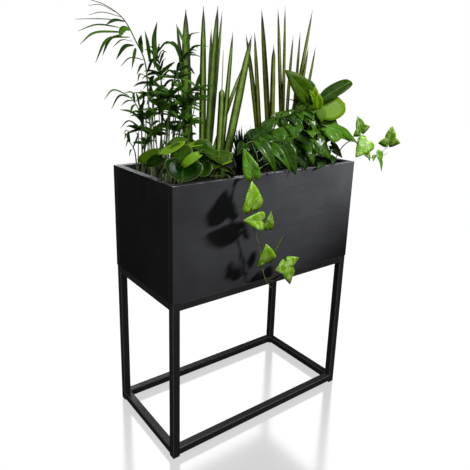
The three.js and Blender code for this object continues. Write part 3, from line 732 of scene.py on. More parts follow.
# Each frond: the line of its cane and midrib; for a row of leaflets on both sides of it, the share
# that stays bare, the leaflets' length in mm and how many pairs; its long leaflets that stand alone,
# as foot, middle, tip and width in mm; and the tufts of broad leaflets on its short canes, as their
# middle, the leaflets' length in mm and how many there are.
FRONDS = {
    "arching": (
        [(-236, 46, -56), (-240, 45, 29), (-246, 50, 162), (-257, 42, 255), (-286, 32, 305),
         (-322, 20, 350), (-368, 8, 373), (-405, 0, 380)],
        None,
        [
            ((-345, 14, 362), (-382, 2, 372), (-412, -4, 368), 4),
            ((-329, 18, 353), (-377, 5, 358), (-414, -10, 349), 4),
            ((-324, 20, 345), (-380, 0, 344), (-440, 0, 340), 5),
            ((-330, 22, 331), (-388, 10, 333), (-440, -10, 316), 6),
            ((-318, 20, 322), (-397, 0, 316), (-440, -20, 290), 8),
            ((-320, 15, 344), (-352, 0, 343), (-381, -18, 331), 12),
            ((-305, 22, 330), (-330, 6, 326), (-347, -10, 308), 17),
            ((-306, 22, 312), (-366, 10, 304), (-400, 0, 255), 9),
            ((-322, 20, 318), (-360, 10, 304), (-383, 0, 270), 11),
            ((-295, 30, 304), (-327, 20, 305), (-353, 10, 289), 8),
            ((-293, 30, 296), (-326, 10, 290), (-352, 0, 262), 11),
            ((-288, 30, 290), (-297, 20, 274), (-309, 10, 243), 8),
            ((-262, 40, 264), (-302, 30, 268), (-336, 10, 249), 6),
            ((-270, 30, 280), (-282, 18, 300), (-284, 8, 318), 13),
            ((-262, 40, 256), (-276, 30, 250), (-292, 20, 230), 7),
            ((-252, 46, 226), (-276, 34, 232), (-290, 20, 214), 6),
            ((-250, 46, 236), (-246, 30, 262), (-240, 16, 272), 8),
            ((-250, 48, 206), (-232, 30, 206), (-222, 20, 186), 8),
        ],
        [((-244, 36, 210), 46, 7)],
    ),
    "upright": (
        [(-212, 62, -56), (-210, 58, 49), (-205, 50, 146), (-212, 50, 240), (-224, 46, 290)],
        (0.5, 52, 8),
        [
            ((-242, 46, 258), (-251, 40, 300), (-264, 30, 329), 9),
            ((-222, 50, 262), (-228, 50, 310), (-222, 45, 352), 13),
            ((-224, 50, 262), (-230, 45, 297), (-236, 40, 327), 9),
            ((-224, 46, 290), (-240, 26, 283), (-247, 16, 244), 12),
            ((-222, 48, 280), (-205, 30, 306), (-186, 16, 292), 8),
        ],
        [((-214, 44, 232), 52, 9), ((-190, 40, 176), 52, 9), ((-232, 52, 186), 48, 8),
         ((-204, 36, 110), 44, 9), ((-218, 30, 150), 46, 9)],
    ),
    "right_high": (
        [(-196, 40, -56), (-198, 36, 49), (-196, 22, 189), (-182, 5, 255), (-160, -10, 290)],
        (0.5, 50, 7),
        [
            ((-166, -4, 286), (-190, -6, 322), (-204, -10, 343), 12),
            ((-169, 0, 292), (-158, 0, 322), (-145, -20, 328), 9),
            ((-165, -4, 282), (-150, -12, 298), (-118, -20, 298), 7),
            ((-169, 0, 273), (-158, -10, 278), (-136, -20, 272), 7),
            ((-178, 6, 262), (-196, 10, 302), (-222, 14, 300), 9),
            ((-186, 12, 240), (-164, 0, 250), (-150, -10, 232), 9),
        ],
        [((-184, 4, 222), 50, 9), ((-166, 6, 160), 50, 9), ((-200, 0, 98), 46, 9), ((-176, 0, 190), 48, 9),
         ((-186, 20, 130), 44, 8)],
    ),
    "right_low": (
        [(-184, 16, -56), (-186, 12, 39), (-184, 0, 129), (-170, -16, 186), (-136, -34, 206)],
        (0.5, 46, 7),
        [
            ((-155, -20, 196), (-147, -22, 221), (-143, -24, 238), 10),
            ((-170, -14, 186), (-196, -20, 206), (-214, -26, 230), 10),
        ],
        [((-172, -20, 118), 44, 8), ((-152, -18, 172), 44, 8), ((-166, 0, 78), 40, 8),
         ((-186, -16, 158), 46, 9)],
    ),
    "left_high": (
        [(-256, 66, -56), (-258, 66, 49), (-264, 58, 129), (-287, 42, 166), (-314, 30, 187)],
        None,
        [
            ((-310, 31, 184), (-352, 20, 197), (-380, 10, 176), 5),
            ((-300, 34, 178), (-336, 22, 184), (-363, 10, 155), 6),
            ((-287, 42, 166), (-300, 30, 190), (-326, 18, 190), 7),
            ((-285, 42, 168), (-312, 28, 172), (-334, 20, 162), 6),
            ((-283, 42, 162), (-301, 28, 158), (-311, 20, 140), 7),
            ((-266, 56, 150), (-284, 40, 190), (-304, 28, 174), 7),
            ((-262, 56, 150), (-262, 40, 186), (-280, 28, 196), 8),
            ((-260, 60, 118), (-292, 50, 142), (-328, 40, 151), 18),
            ((-258, 60, 110), (-268, 46, 150), (-262, 36, 172), 14),
            ((-260, 62, 100), (-300, 50, 123), (-330, 36, 108), 6),
        ],
        [((-252, 50, 132), 44, 8), ((-238, 60, 84), 40, 8)],
    ),
    "left_low": (
        [(-256, 92, -56), (-260, 94, 4), (-270, 84, 44), (-288, 70, 66), (-300, 60, 74)],
        None,
        [
            ((-292, 66, 68), (-300, 56, 78), (-314, 44, 60), 6),
            ((-296, 62, 72), (-306, 54, 92), (-316, 44, 80), 7),
            ((-288, 70, 66), (-302, 54, 100), (-320, 44, 94), 6),
            ((-272, 82, 48), (-290, 64, 50), (-300, 54, 36), 6),
            ((-276, 80, 52), (-272, 60, 84), (-284, 48, 96), 8),
        ],
        [((-262, 74, 96), 40, 8), ((-244, 70, 60), 36, 8)],
    ),
    "front": (
        [(-222, 14, -56), (-224, 8, 39), (-224, -2, 119), (-219, -8, 181)],
        None,
        [],
        [((-219, -8, 181), 58, 10), ((-238, 14, 140), 50, 9), ((-206, -30, 128), 46, 8),
         ((-250, 20, 92), 42, 8), ((-196, -14, 66), 40, 8), ((-226, -6, 60), 38, 7),
         ((-200, 6, 150), 50, 9)],
    ),
    "back": (
        [(-216, 98, -56), (-210, 104, 39), (-195, 125, 129), (-165, 155, 164), (-130, 176, 158)],
        (0.4, 34, 8),
        [],
        [((-202, 104, 176), 44, 8), ((-230, 96, 120), 44, 8)],
    ),
}
LEAFLET = [(0, 0.25), (0.12, 0.75), (0.35, 1.0), (0.6, 0.85), (0.85, 0.42), (1, 0.05)]
TO_ROOM = Vector((-0.42, -0.6, 0.68))


def add_leaflet(plant, path, width, chance):
    plant.strap(path, TO_ROOM + jitter(chance, 0.25), width, LEAFLET, 0.22, chance.random())


def add_rows(plant, path, bare, length, pairs, chance):
    """Pairs of drooping leaflets along the part of a midrib that isn't bare."""
    last = len(path) - 2
    first = int(bare * (len(path) - 1))
    for pair in range(pairs):
        share = (pair + 0.3) / pairs
        index = min(first + round((last - first) * share), last)
        start = path[index]
        ahead = (path[index + 1] - start).normalized()
        level = ahead.cross(UP)
        level = level.normalized() if level.length > 0.15 else Vector((0.8, -0.6, 0))
        size = length * MM * (0.62 + 0.5 * math.sin(math.pi * (0.15 + 0.75 * share)))
        for hand in (-1, 1):
            lean = ahead * (0.9 + 0.5 * share) + level * (hand * 0.85)
            lean = (lean + jitter(chance, 0.16)).normalized()
            reach = size * chance.uniform(0.85, 1.15)
            end = start + lean * reach - UP * (reach * chance.uniform(0.25, 0.55))
            middle = start + lean * (reach * 0.6) + UP * (reach * 0.1)
            add_leaflet(plant, arc(start, middle, end, 7), chance.uniform(5, 8.5), chance)


def add_star(plant, path, length, count, chance):
    """A tuft of leaflets all round the end of a short cane."""
    middle = path[-1]
    plant.stem(path, 1.9, 1.1, sides=5)
    for k in range(count):
        turn = math.tau * (k + chance.uniform(-0.25, 0.25)) / count
        out = Vector((math.cos(turn), math.sin(turn), chance.uniform(-0.1, 1.5))).normalized()
        reach = length * MM * chance.uniform(0.75, 1.15)
        tip = middle + out * reach - UP * (reach * chance.uniform(0.15, 0.5))
        add_leaflet(plant, arc(middle, middle + out * (0.6 * reach), tip, 7), chance.uniform(6, 13), chance)


def add_palm(leaf, cane):
    chance = random.Random(5)
    for name, (line, rows, leaflets, stars) in FRONDS.items():
        plant = Foliage(f"palm_{name}_leaves", leaf, cane)
        path = smooth_path(spots(line), 8)
        plant.stem(path, 2.4, 0.7)
        if rows:
            add_rows(plant, path, *rows, chance)
        for *places, width in leaflets:
            add_leaflet(plant, smooth_path(spots(places), 5), width, chance)
        root = path[0]
        for middle, length, count in stars:
            end = spot(*middle)
            foot = root + Vector((chance.uniform(-10, 10), chance.uniform(-10, 10), 0)) * MM
            knee = foot.lerp(end, 0.6) + (root - end).cross(UP) * chance.uniform(-0.08, 0.08)
            add_star(plant, arc(foot, knee, end, 8), length, count, chance)
        plant.build("insert", "palm_leaf", f"palm_frond_{name}")


# ---- Mounds of broad leaves ----

# Where leaves hang over the front and the left front corner, how low they may reach there, and
# where leaves meet the left board and have to lie above it.
FRONT_EDGE = spot(0, -142, 0).y
LEFT_CORNER = spot(-400, 0, 0).x + MIDDLE_Y
LOWEST_TIP = RIM + 30 * MM
LEFT_BOARD = spot(-282, 0, 0).x
ABOVE_BOARD = RIM + 26 * MM


def add_cluster(plant, node_name, root, count, sizes, outline, shape, chance, tints, depths):
    """Leaves on stalks all over the dome that the plant's solid fills, facing out and up."""
    low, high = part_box(node_name)
    base_z = RIM + 8 * MM
    middle = Vector(((low.x + high.x) / 2, (low.y + high.y) / 2, base_z))
    radii = Vector(((high.x - low.x) / 2, (high.y - low.y) / 2, high.z - base_z))
    for k in range(count):
        out = dome_way(k * GOLDEN_TURN + chance.uniform(-0.2, 0.2), (k + 0.5) / count)
        depth = chance.uniform(*depths)
        heart = middle + out * radii * depth
        face = (out + UP * chance.uniform(0.5, 1.1)).normalized()
        outward = Vector((out.x, out.y, 0)).normalized() - UP * 0.35
        ahead = Matrix.Rotation(chance.uniform(-0.7, 0.7), 3, face) @ upright_to(outward, face)
        size = chance.uniform(*sizes) * MM
        if heart.x - size / 2 < LEFT_BOARD:
            heart.z = max(heart.z, ABOVE_BOARD)
        base = heart - ahead * (size * 0.42)
        tip = heart + ahead * (size * 0.55)
        if (tip.y < FRONT_EDGE or tip.x + tip.y < LEFT_CORNER) and tip.z < LOWEST_TIP:
            continue
        foot = spot(*root) + Vector((out.x * radii.x, out.y * radii.y, 0)) / 4
        bow = (foot + base) / 2 + UP * 0.018
        plant.stem(arc(foot, bow, base + ahead * (0.1 * size), 6), 1.5, 1.0, sides=5)
        plant.leaf(base, tip, face, outline, bend=chance.uniform(0.3, 1.0), wave=chance.uniform(0, 0.08),
                   tint=chance.uniform(*tints), **shape)


def add_crown(plant, middle, radii, count, sizes, outline, chance):
    """Dark leaves all over the upper half of an oval that stands on the mound."""
    for k in range(count):
        out = dome_way(k * GOLDEN_TURN, (k + 0.5) / count)
        heart = spot(*(m + r * o * chance.uniform(0.7, 1.0) for m, r, o in zip(middle, radii, out)))
        face = (out + UP * chance.uniform(0.2, 0.7)).normalized()
        ahead = upright_to(Vector((out.x, out.y, -0.4)), face)
        ahead = Matrix.Rotation(chance.uniform(-0.9, 0.9), 3, face) @ ahead
        size = chance.uniform(*sizes) * MM
        base = heart - ahead * (size * 0.45)
        foot = spot(*middle) - UP * 0.06
        plant.stem(arc(foot, (spot(*middle) + base) / 2, base + ahead * (0.1 * size), 5), 1.3, 0.9, sides=5)
        plant.leaf(base, heart + ahead * (size * 0.55), face, outline, width=0.8,
                   bend=chance.uniform(0.3, 0.9), fold=0.22, tint=chance.uniform(0.0, 0.5))


def add_placed(plant, leaves, outline, root=None, chance=None):
    """Leaves placed one by one, on stalks from the root where one is given."""
    for base, tip, face, width, bend, shape in leaves:
        start, end = spot(*base), spot(*tip)
        if root:
            foot = spot(*root)
            knee = foot.lerp(start, 0.55) + UP * (0.35 * (start - foot).length)
            plant.stem(arc(foot, knee, start + (end - start) * 0.08, 8), 1.5, 1.0, sides=5)
        given = {"tint": chance.uniform(0.2, 0.8) if chance else 0.5, "outline": outline, **shape}
        plant.leaf(start, end, Vector(face), width=width, bend=bend, **given)


# Leaves placed one by one: base, tip, the way they face, width, bend and the rest of their shape.
PEPEROMIA_LEAVES = [
    ((-252, -120, 48), (-276, -152, 4), (-0.35, -0.75, 0.6), 1.45, -0.3, dict(cup=0.7, tint=0.0)),
    ((-278, -60, 58), (-312, -14, 38), (-0.3, -0.7, 0.7), 0.65, 0, dict(cup=0.2, tint=0.55)),
    ((-303, -108, 62), (-235, -95, 85), (0.1, 0.02, 1.0), 0.6, 0.2, dict(cup=0.2, tint=1.0)),
    ((-244, -104, 82), (-266, -122, 44), (-0.35, -0.75, 0.6), 1.1, 0.2, dict(cup=0.3, tint=0.2)),
    ((-264, -136, 38), (-210, -132, 62), (0.0, -0.6, 0.8), 0.36, 0.9, dict(fold=0.5, tint=1.0)),
    ((-206, -88, 74), (-164, -110, 38), (-0.3, -0.75, 0.6), 1.05, 0.4, dict(cup=0.3, tint=0.2)),
    ((-215, -84, 72), (-166, -84, 76), (0, -0.3, 1.0), 0.5, 0.5, dict(cup=0.2, tint=0.95)),
    ((-200, -122, 42), (-222, -144, 8), (-0.3, -0.7, 0.65), 1.0, -0.4, dict(cup=0.9, tint=0.1)),
    ((-158, -102, 36), (-109, -112, 48), (-0.2, -0.6, 0.8), 0.75, 0.6, dict(cup=0.2, tint=0.25)),
    ((-188, -120, 20), (-118, -124, 36), (-0.1, -0.2, 1.0), 0.42, 0.3, dict(fold=0.3, tint=0.9)),
    ((-282, -84, 54), (-312, -58, 34), (-0.4, -0.7, 0.6), 0.7, 0.3, dict(cup=0.3, tint=0.05)),
    ((-262, -84, 78), (-222, -80, 90), (-0.1, -0.5, 0.9), 0.7, 0.6, dict(cup=0.2, tint=0.3)),
]
POTHOS_LEAVES = [
    ((-86, -166, -4), (-92, -132, 66), (-0.5, -0.8, 0.3), 0.7, 0.4, dict(fold=0.25, wave=0.1, tint=0.75)),
    ((-40, -118, 78), (-9, -158, -1), (-0.2, -0.85, 0.5), 0.5, 0.9, dict(fold=0.4, tint=0.32)),
    ((47, -118, 66), (60, -160, -11), (-0.4, -0.8, 0.4), 0.85, 0.6, dict(wave=0.08, tint=0.2)),
    ((9, -108, 63), (44, -156, -2), (-0.1, -0.85, 0.5), 0.5, 0.7, dict(fold=0.3, tint=0.35)),
    ((157, -118, 64), (196, -148, 14), (-0.1, -0.75, 0.65), 1.3, 0.8, dict(cup=0.3, wave=0.1, tint=0.25)),
    ((132, -120, 63), (131, -152, 4), (-0.4, -0.8, 0.4), 0.7, 0.5, dict(fold=0.2, tint=0.3)),
    ((-32, -86, 73), (30, -78, 99), (-0.4, -0.7, 0.6), 0.95, 0.7, dict(tint=0.12)),
    ((18, -80, 95), (67, -66, 127), (-0.5, -0.6, 0.6), 0.8, 0.6, dict(tint=0.2)),
    ((43, -96, 72), (95, -80, 101), (-0.4, -0.7, 0.6), 0.9, 0.7, dict(tint=0.3)),
    ((96, -96, 80), (120, -122, 34), (-0.3, -0.8, 0.5), 0.9, 0.6, dict(tint=0.15)),
    ((144, -84, 91), (71, -96, 75), (-0.3, -0.5, 0.85), 0.7, 0.8, dict(tint=0.45)),
    ((100, -60, 101), (91, -40, 138), (-0.5, -0.7, 0.5), 0.8, 0.3, dict(tint=0.35)),
    ((164, -60, 140), (117, -72, 108), (-0.4, -0.7, 0.6), 0.75, 0.6, dict(tint=0.2)),
    ((205, -92, 96), (136, -112, 76), (-0.3, -0.6, 0.8), 0.75, 0.7, dict(tint=0.25)),
    ((240, -110, 46), (276, -126, 8), (0.1, -0.8, 0.6), 1.1, 0.6, dict(tint=0.05)),
    ((189, -130, 14), (140, -158, -6), (-0.3, -0.8, 0.5), 0.7, 0.5, dict(tint=0.1)),
    ((232, -120, 22), (206, -154, -2), (0.0, -0.8, 0.6), 0.9, 0.6, dict(tint=0.1)),
    ((96, -132, 34), (100, -156, -6), (-0.3, -0.9, 0.4), 0.9, 0.5, dict(tint=0.1)),
    ((22, -120, 56), (18, -148, 6), (-0.4, -0.8, 0.4), 0.8, 0.5, dict(tint=0.05)),
    ((-66, -108, 72), (-104, -122, 46), (-0.4, -0.7, 0.6), 0.9, 0.7, dict(tint=0.1)),
    ((20, -110, 84), (-30, -128, 66), (-0.3, -0.6, 0.8), 0.8, 0.8, dict(tint=0.15)),
    ((22, -50, 66), (-18, -84, 32), (-0.4, -0.7, 0.6), 0.9, 0.5, dict(tint=0.05)),
    ((14, -56, 86), (-38, -78, 62), (-0.4, -0.7, 0.6), 0.8, 0.6, dict(tint=0.08)),
    ((34, -50, 46), (-6, -80, 14), (-0.4, -0.7, 0.6), 0.9, 0.5, dict(tint=0.03)),
    ((196, -50, 115), (181, -62, 61), (-0.4, -0.8, 0.4), 0.9, 0.4, dict(tint=0.05)),
    ((252, -50, 104), (276, -66, 38), (-0.2, -0.8, 0.5), 0.85, 0.5, dict(tint=0.05)),
]
LOBED_LEAVES = [
    ((211, -104, 98), (326, -132, 50), (-0.2, -0.7, 0.75), 0.8, 0.6, dict(wave=0.05, tint=0.5)),
    ((184, -66, 150), (179, -92, 98), (-0.4, -0.8, 0.5), 0.9, 0.5, dict(tint=0.4)),
    ((110, -92, 108), (92, -118, 56), (-0.4, -0.8, 0.5), 0.85, 0.5, dict(tint=0.3)),
    ((232, -86, 120), (256, -100, 84), (-0.1, -0.8, 0.6), 0.9, 0.5, dict(tint=0.3)),
]


def add_peperomia(stalk):
    round_leaf = leaf_material(
        "peperomia_leaf", (0.005, 0.032, 0.0005), (0.15, 0.31, 0.004), (0.08, 0.2, 0.01), (0.42, 0.5, 0.16),
        roughness=0.36, specular=0.08, coat=0.04, veins=5.0, vein_share=0.08, rib_width=0.05, rib_share=0.3,
        edge_start=0.95, edge_share=0.55, relief=0.3)
    plant = Foliage("peperomia_leaves", round_leaf, stalk)
    chance = random.Random(11)
    add_cluster(plant, "peperomia", (-195, -70, SOIL), 26, (42, 62), ROUND, dict(width=1.0, cup=0.3), chance,
                (0.0, 0.3), (0.55, 0.8))
    add_placed(plant, PEPEROMIA_LEAVES, ROUND, (-195, -72, SOIL), chance)
    plant.stem(smooth_path(spots([(-196, -100, 6), (-178, -138, 8), (-150, -142, 9), (-142, -148, 2)])), 1.2)
    plant.build("insert", "peperomia_leaf", "peperomia")


def add_pothos(stalk):
    vine_leaf = leaf_material(
        "pothos_leaf", (0.002, 0.014, 0.0003), (0.12, 0.34, 0.006), (0.08, 0.22, 0.02), (0.05, 0.16, 0.01),
        roughness=0.26, specular=0.16, coat=0.14, veins=6.0, vein_share=0.12, rib_width=0.05, rib_share=0.35,
        mottling=55, patch_share=0.2, patch_start=0.6, relief=0.5)
    plant = Foliage("pothos_leaves", vine_leaf, stalk)
    chance = random.Random(23)
    add_cluster(plant, "pothos", (140, -70, SOIL), 60, (36, 60), HEART, dict(width=0.85, fold=0.22), chance,
                (0.0, 0.5), (0.55, 0.85))
    root = (140, -72, SOIL)
    add_placed(plant, POTHOS_LEAVES, HEART, root, chance)
    add_placed(plant, LOBED_LEAVES, IVY, root, chance)
    add_crown(plant, (164, -48, 96), (98, 54, 48), 36, (32, 50), HEART, chance)
    plant.stem(smooth_path(spots([(-58, -122, 74), (-66, -150, 52), (-62, -154, 34), (-36, -146, 46)])), 1.0)
    plant.build("insert", "pothos_leaf", "pothos")


# ---- Rubber plant ----

FIG_LEAVES = [
    ((212, -58, 157), (107, -50, 247), (-0.5, -0.75, 0.35), 0.68, 0.3, dict(fold=0.2, tint=0.3)),
    ((218, -76, 164), (322, -96, 218), (-0.3, -0.6, 0.75), 0.85, 0.25,
     dict(outline=OBLONG, fold=0.15, tint=0.1)),
    ((203, -80, 138), (300, -96, 156), (-0.15, -0.8, 0.6), 0.86, 0.3,
     dict(outline=ROUND, cup=0.15, tint=0.7)),
    ((214, -50, 175), (206, -42, 224), (-0.4, -0.8, 0.4), 1.15, 0.3, dict(tint=0.0)),
    ((211, -62, 157), (208, -66, 206), (-0.3, -0.9, 0.3), 0.8, 0.3, dict(fold=0.35, tint=0.95)),
    ((213, -64, 157), (182, -70, 196), (-0.2, -0.9, 0.3), 0.5, 0.3, dict(fold=0.4, tint=0.85)),
    ((193, -56, 165), (140, -62, 132), (-0.5, -0.6, 0.6), 0.75, 0.5, dict(tint=0.15)),
    ((219, -74, 152), (238, -94, 106), (-0.2, -0.8, 0.5), 0.9, 0.4, dict(tint=0.45)),
    ((216, -82, 152), (206, -102, 108), (-0.4, -0.8, 0.3), 1.0, 0.4, dict(tint=0.5)),
    ((236, -86, 132), (268, -108, 92), (-0.3, -0.8, 0.5), 0.8, 0.4, dict(tint=0.3)),
    ((209, -84, 142), (196, -88, 190), (-0.3, -0.9, 0.3), 0.85, 0.3, dict(fold=0.3, tint=0.95)),
    ((205, -56, 150), (216, -80, 106), (-0.4, -0.8, 0.4), 1.2, 0.4, dict(tint=0.1)),
    ((226, -62, 132), (250, -84, 94), (-0.3, -0.8, 0.5), 1.1, 0.4, dict(tint=0.15)),
    ((206, -62, 156), (176, -84, 118), (-0.5, -0.7, 0.5), 0.8, 0.4, dict(tint=0.4)),
    ((220, -40, 166), (268, 8, 196), (0.3, 0.2, 0.9), 0.7, 0.4, dict(fold=0.1, tint=0.3)),
    ((214, -44, 150), (160, -2, 168), (-0.2, 0.3, 0.9), 0.7, 0.4, dict(tint=0.2)),
]


def add_fig(stalk):
    leathery = leaf_material(
        "rubber_plant_leaf", (0.008, 0.034, 0.002), (0.15, 0.29, 0.004), (0.15, 0.25, 0.04), (0.1, 0.2, 0.02),
        roughness=0.42, specular=0.08, veins=14.0, vein_lean=2.5, vein_share=0.06, rib_width=0.045,
        rib_share=0.7, relief=0.3)
    plant = Foliage("rubber_plant_leaves", leathery, stalk)
    line = [(240, -20, -58), (240, -20, 29), (238, -24, 119), (216, -54, 158), (212, -60, 172)]
    plant.stem(smooth_path(spots(line)), 3.6, 2.2, sides=8)
    add_placed(plant, FIG_LEAVES, OVAL)
    plant.stem(arc(*spots([(212, -62, 170), (210, -64, 186), (212, -66, 206)]), 6), 1.8, 0.4)
    plant.build("insert", "rubber_plant_leaf", "rubber_plant")


# ---- Ivy: thin runners with lobed leaves on stalks ----

FRONT_RUNNER = [
    (-30, -95, -58), (-50, -126, 0), (-70, -150, 20), (-88, -166, 0), (-95, -168, -40), (-93, -168, -80),
    (-84, -168, -112), (-74, -168, -140), (-58, -168, -186), (-47, -168, -235), (-32, -168, -276),
    (-14, -172, -299),
]
FRONT_TWIGS = [
    [(-34, -168, -272), (-14, -171, -272), (10, -174, -264), (24, -176, -236)],
    [(-30, -169, -278), (-10, -172, -280), (12, -175, -274), (26, -176, -262)],
    [(-52, -168, -212), (-60, -172, -222), (-62, -174, -218)],
]
RIGHT_RUNNER = [
    (254, -100, -58), (252, -122, 7), (248, -142, 40), (258, -152, 56), (282, -154, 60), (312, -155, 40),
    (337, -156, 14), (363, -158, 6), (392, -160, 14), (414, -162, 26), (428, -164, 36),
]
RIGHT_TWIGS = [[(392, -160, 14), (416, -162, 10), (432, -164, 18)]]
# Each leaf: the share of the runner where its stalk springs, then as the leaves placed one by one.
FRONT_IVY = [
    (0.3, (-96, -172, -80), (-98, -174, -6), (0.12, -0.95, 0.2), 1.25, 0.3,
     dict(outline=HEART, fold=0.15, wave=0.05, tint=0.85)),
    (0.45, (-54, -172, -112), (-128, -184, -94), (-0.22, -0.95, 0.25), 0.82, 0.5,
     dict(outline=HEART, fold=0.2, tint=0.75)),
    (0.47, (-37, -172, -136), (-34, -176, -88), (-0.1, -0.9, 0.3), 0.8, 0.3, dict(outline=HEART, tint=0.5)),
    (0.7, (-42, -174, -226), (-54, -186, -166), (-0.1, -0.9, 0.3), 1.25, 0.4,
     dict(outline=HEART, fold=0.1, wave=0.06, tint=0.9)),
    (0.7, (-18, -174, -214), (6, -182, -160), (0.8, -0.4, 0.3), 0.55, -0.4, dict(outline=LANCE, tint=0.7)),
    (0.93, (26, -176, -228), (38, -186, -298), (0.0, -0.9, 0.4), 1.2, 0.4, dict(wave=0.1, tint=0.6)),
    (0.93, (28, -177, -240), (56, -182, -246), (0.3, -0.9, 0.3), 0.9, 0.5, dict(outline=LANCE, tint=0.5)),
]
RIGHT_IVY = [
    (0.46, (306, -158, 78), (280, -160, 128), (-0.4, -0.85, 0.3), 1.05, 0.25, dict(fold=0.12, tint=0.4)),
    (0.55, (341, -158, 60), (286, -162, 14), (-0.4, -0.8, 0.45), 1.0, 0.4,
     dict(outline=HEART, wave=0.06, tint=0.5)),
    (0.6, (330, -156, 44), (352, -162, -2), (-0.2, -0.85, 0.45), 0.75, 0.4, dict(tint=0.45)),
    (0.93, (417, -170, 38), (414, -178, 98), (-0.4, -0.85, 0.3), 1.15, 0.25, dict(fold=0.1, tint=0.5)),
    (0.74, (386, -158, 22), (405, -166, -38), (0.1, -0.9, 0.3), 0.62, 0.4, dict(fold=0.3, tint=0.4)),
    (0.7, (372, -160, 14), (364, -164, -4), (-0.3, -0.85, 0.4), 0.8, 0.3, dict(tint=0.6)),
]


def add_runner(name, node_name, line, leaves, twigs, leaf, stem):
    """A trailing stem, its leaves on stalks, and bare twigs at its end."""
    plant = Foliage(name, leaf, stem)
    path = smooth_path(spots(line), 7)
    plant.stem(path, 1.7, 0.9)
    for share, base, tip, face, width, bend, shape in leaves:
        start, base, tip = path[int(share * (len(path) - 1))], spot(*base), spot(*tip)
        middle = (start + base) / 2 + Vector((0, -0.004, 0.003))
        plant.stem(arc(start, middle, base + (tip - base) * 0.12, 8), 0.9, 0.8, sides=5)
        plant.leaf(base, tip, Vector(face), width=width, bend=bend, **{"outline": IVY, **shape})
    for twig in twigs:
        plant.stem(smooth_path(spots(twig), 5), 1.1, 0.5)
    plant.build("insert", "ivy_leaf", node_name)


def add_ivies():
    bright = leaf_material(
        "ivy_leaf", (0.03, 0.15, 0.001), (0.26, 0.56, 0.012), (0.5, 0.7, 0.2), (0.3, 0.45, 0.06),
        roughness=0.38, specular=0.16, veins=4.0, vein_lean=7.0, vein_share=0.18, rib_width=0.08,
        rib_share=0.5, mottling=75, patch_share=0.75, patch_start=0.5, relief=0.8)
    twig = stem_material("ivy_stem", (0.32, 0.33, 0.14), (0.12, 0.075, 0.035))
    add_runner("ivy_front_vine", "ivy_front", FRONT_RUNNER, FRONT_IVY, FRONT_TWIGS, bright, twig)
    add_runner("ivy_right_vine", "ivy_right", RIGHT_RUNNER, RIGHT_IVY, RIGHT_TWIGS, bright, twig)


# ---- Dark tuft ----

def add_tuft():
    dark = leaf_material(
        "tuft_leaf", (0.003, 0.008, 0.004), (0.012, 0.03, 0.01), (0.03, 0.06, 0.02), (0.02, 0.03, 0.015),
        roughness=0.45, vein_share=0.0, rib_share=0.3)
    plant = Foliage("grass_tuft_leaves", dark)
    low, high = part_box("grass_tuft")
    middle = Vector(((low.x + high.x) / 2, (low.y + high.y) / 2, RIM + SOIL * MM - 0.004))
    reach = (high.x - low.x) / 2
    highest = 1.15 * (high.z - middle.z)
    chance = random.Random(31)
    for k in range(140):
        lean = reach * chance.uniform(0.2, 1.6)
        out = dome_way(k * GOLDEN_TURN, 0)
        rise = highest * chance.uniform(0.5, 1.0) - 0.3 * lean
        foot = middle + out * (0.009 * chance.random())
        end = foot + out * lean + UP * rise
        knee = foot + out * (0.3 * lean) + UP * (rise * 0.75)
        plant.strap(arc(foot, knee, end, 10), UP + out, chance.uniform(5, 10), LEAFLET, 0.3, chance.random())
    plant.build("insert", "tuft_leaf", "grass_tuft")


# ---- Soil ----

SOIL_CORNER = 30 * MM
SOIL_TAPER = 11.6 * MM
CORNER_STEPS = 10
SOIL_AROUND = 4 * CORNER_STEPS
SOIL_RINGS = 46
CRUMBS = 420


def soil_edge(half, inset):
    """The points around a rectangle with round corners, moved in by inset."""
    points = []
    for a in range(SOIL_AROUND):
        quarter, step = divmod(a, CORNER_STEPS)
        angle = math.pi / 2 * (quarter + step / (CORNER_STEPS - 1))
        sign_x = 1 if quarter in (0, 3) else -1
        sign_y = 1 if quarter in (0, 1) else -1
        points.append((sign_x * (half.x - inset - SOIL_CORNER) + SOIL_CORNER * math.cos(angle),
                       sign_y * (half.y - inset - SOIL_CORNER) + SOIL_CORNER * math.sin(angle)))
    return points


def add_soil():
    """The soil's body with a crumbly top: a closed form with rounded corners that fits the liner."""
    low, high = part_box("soil")
    middle, half = (low + high) / 2, (high - low) / 2
    form = bmesh.new()
    foot = [form.verts.new((middle.x + x, middle.y + y, low.z)) for x, y in soil_edge(half, SOIL_TAPER)]
    rows = [foot]
    edge = soil_edge(half, 0.0)
    for ring in range(SOIL_RINGS, 0, -1):
        share = ring / SOIL_RINGS
        fade = min(1, (1 - share) * 14)
        row = []
        for x, y in edge:
            lump = noise.fractal(Vector((x, y, 0)) * (share * 38), 1.0, 2.2, 3)
            height = (lump * 0.0035 - 0.0015) * fade
            row.append(form.verts.new((middle.x + x * share, middle.y + y * share, high.z + height)))
        rows.append(row)
    top = form.verts.new((middle.x, middle.y, high.z - 0.001))
    for j in range(SOIL_AROUND):
        k = (j + 1) % SOIL_AROUND
        for lower, upper in zip(rows, rows[1:]):
            form.faces.new((lower[j], lower[k], upper[k], upper[j]))
        form.faces.new((rows[-1][j], rows[-1][k], top))
    form.faces.new(list(reversed(foot)))
    add_crumbs(form, middle, half, high.z)
    mesh = bpy.data.meshes.new("soil_fill")
    mesh.materials.append(potting_soil())
    add_piece("soil_fill", mesh, form, "insert", "soil", "soil")


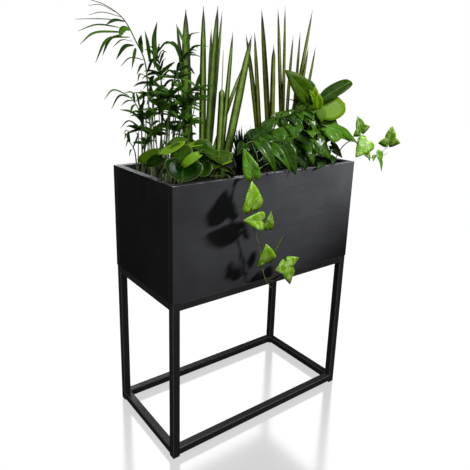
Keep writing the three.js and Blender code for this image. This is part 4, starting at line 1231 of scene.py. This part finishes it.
def add_crumbs(form, middle, half, top):
    """Bark crumbs strewn on the soil, each a dented ball half sunk in it."""
    chance = random.Random(41)
    for _ in range(CRUMBS):
        x = chance.uniform(-0.94, 0.94) * half.x
        y = chance.uniform(-0.9, 0.9) * half.y
        size = chance.uniform(1.2, 4.2) * MM
        turn = Euler([chance.uniform(0, math.tau) for _ in range(3)]).to_matrix().to_4x4()
        squash = Matrix.Diagonal((size, size * chance.uniform(0.4, 0.9), size * chance.uniform(0.3, 0.7), 1))
        where = Matrix.Translation((middle.x + x, middle.y + y, top + 0.0006)) @ turn @ squash
        made = bmesh.ops.create_icosphere(form, subdivisions=1, radius=1, matrix=where)
        for vert in made["verts"]:
            vert.co += jitter(chance, 0.18) * size


# ---- The carried-over CAD parts ----

def dress(starts, material, lit_with):
    """Gives a material to the CAD nodes whose names start so, and puts them under their lights."""
    for name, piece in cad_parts.items():
        if name.startswith(starts):
            lit_with.objects.link(piece)
            if not piece.material_slots:
                piece.data.materials.append(material)
            for slot in piece.material_slots:
                slot.link = "OBJECT"
                slot.material = material


def dress_frame():
    dress(("leg_", "rail_"), powder_coat(), STEEL)
    dress("foot_", moulded_plastic("foot_plastic", (0.012, 0.012, 0.013), 0.5, 500), STEEL)
    dress("screw_", zinc(), STEEL)
    dress(("panel_front", "panel_back"), stained_board("stained_board_long", "x"), BOARDS)
    # The end boards take the same stain, painted darker by 0.8 as shade.
    dress(("panel_left", "panel_right"), stained_board("stained_board_end", "y", 0.8), BOARDS)
    dress("panel_base", raw_wood("base_board", (0.045, 0.04, 0.036), "x"), BOARDS)
    dress("corner_block_", raw_wood("corner_batten", (0.06, 0.05, 0.042), "z"), BOARDS)
    dress("liner", moulded_plastic("liner_plastic", (0.006, 0.006, 0.0065), 0.3, 260), BOARDS)


add_camera()
add_studio()
dress_frame()
add_soil()
# Sword colours: dark flank, a pale streak that also paints the lit side, and the dry tip.
add_swords(
    "sword_plant_left", SWORDS_LEFT,
    sword_material("sword_leaf", (0.012, 0.045, 0.002), (0.24, 0.38, 0.05), (0.05, 0.04, 0.03)),
    "sword_leaf", 3)
add_swords(
    "sword_plant_right", SWORDS_RIGHT,
    sword_material("sword_leaf_olive", (0.02, 0.03, 0.002), (0.2, 0.26, 0.02), (0.04, 0.032, 0.024)),
    "sword_leaf_olive", 4)
add_palm(
    leaf_material(
        "palm_leaf", (0.006, 0.028, 0.001), (0.06, 0.17, 0.004), (0.1, 0.24, 0.03), (0.02, 0.08, 0.01),
        roughness=0.5, specular=0.12, vein_share=0.0, rib_width=0.2, rib_share=0.3, relief=0.2),
    stem_material("palm_cane", (0.05, 0.14, 0.02), (0.28, 0.38, 0.16)))
stalks = stem_material("leaf_stalk", (0.16, 0.3, 0.07), (0.1, 0.16, 0.05))
add_peperomia(stalks)
add_pothos(stalks)
add_fig(stalks)
add_ivies()
add_tuft()
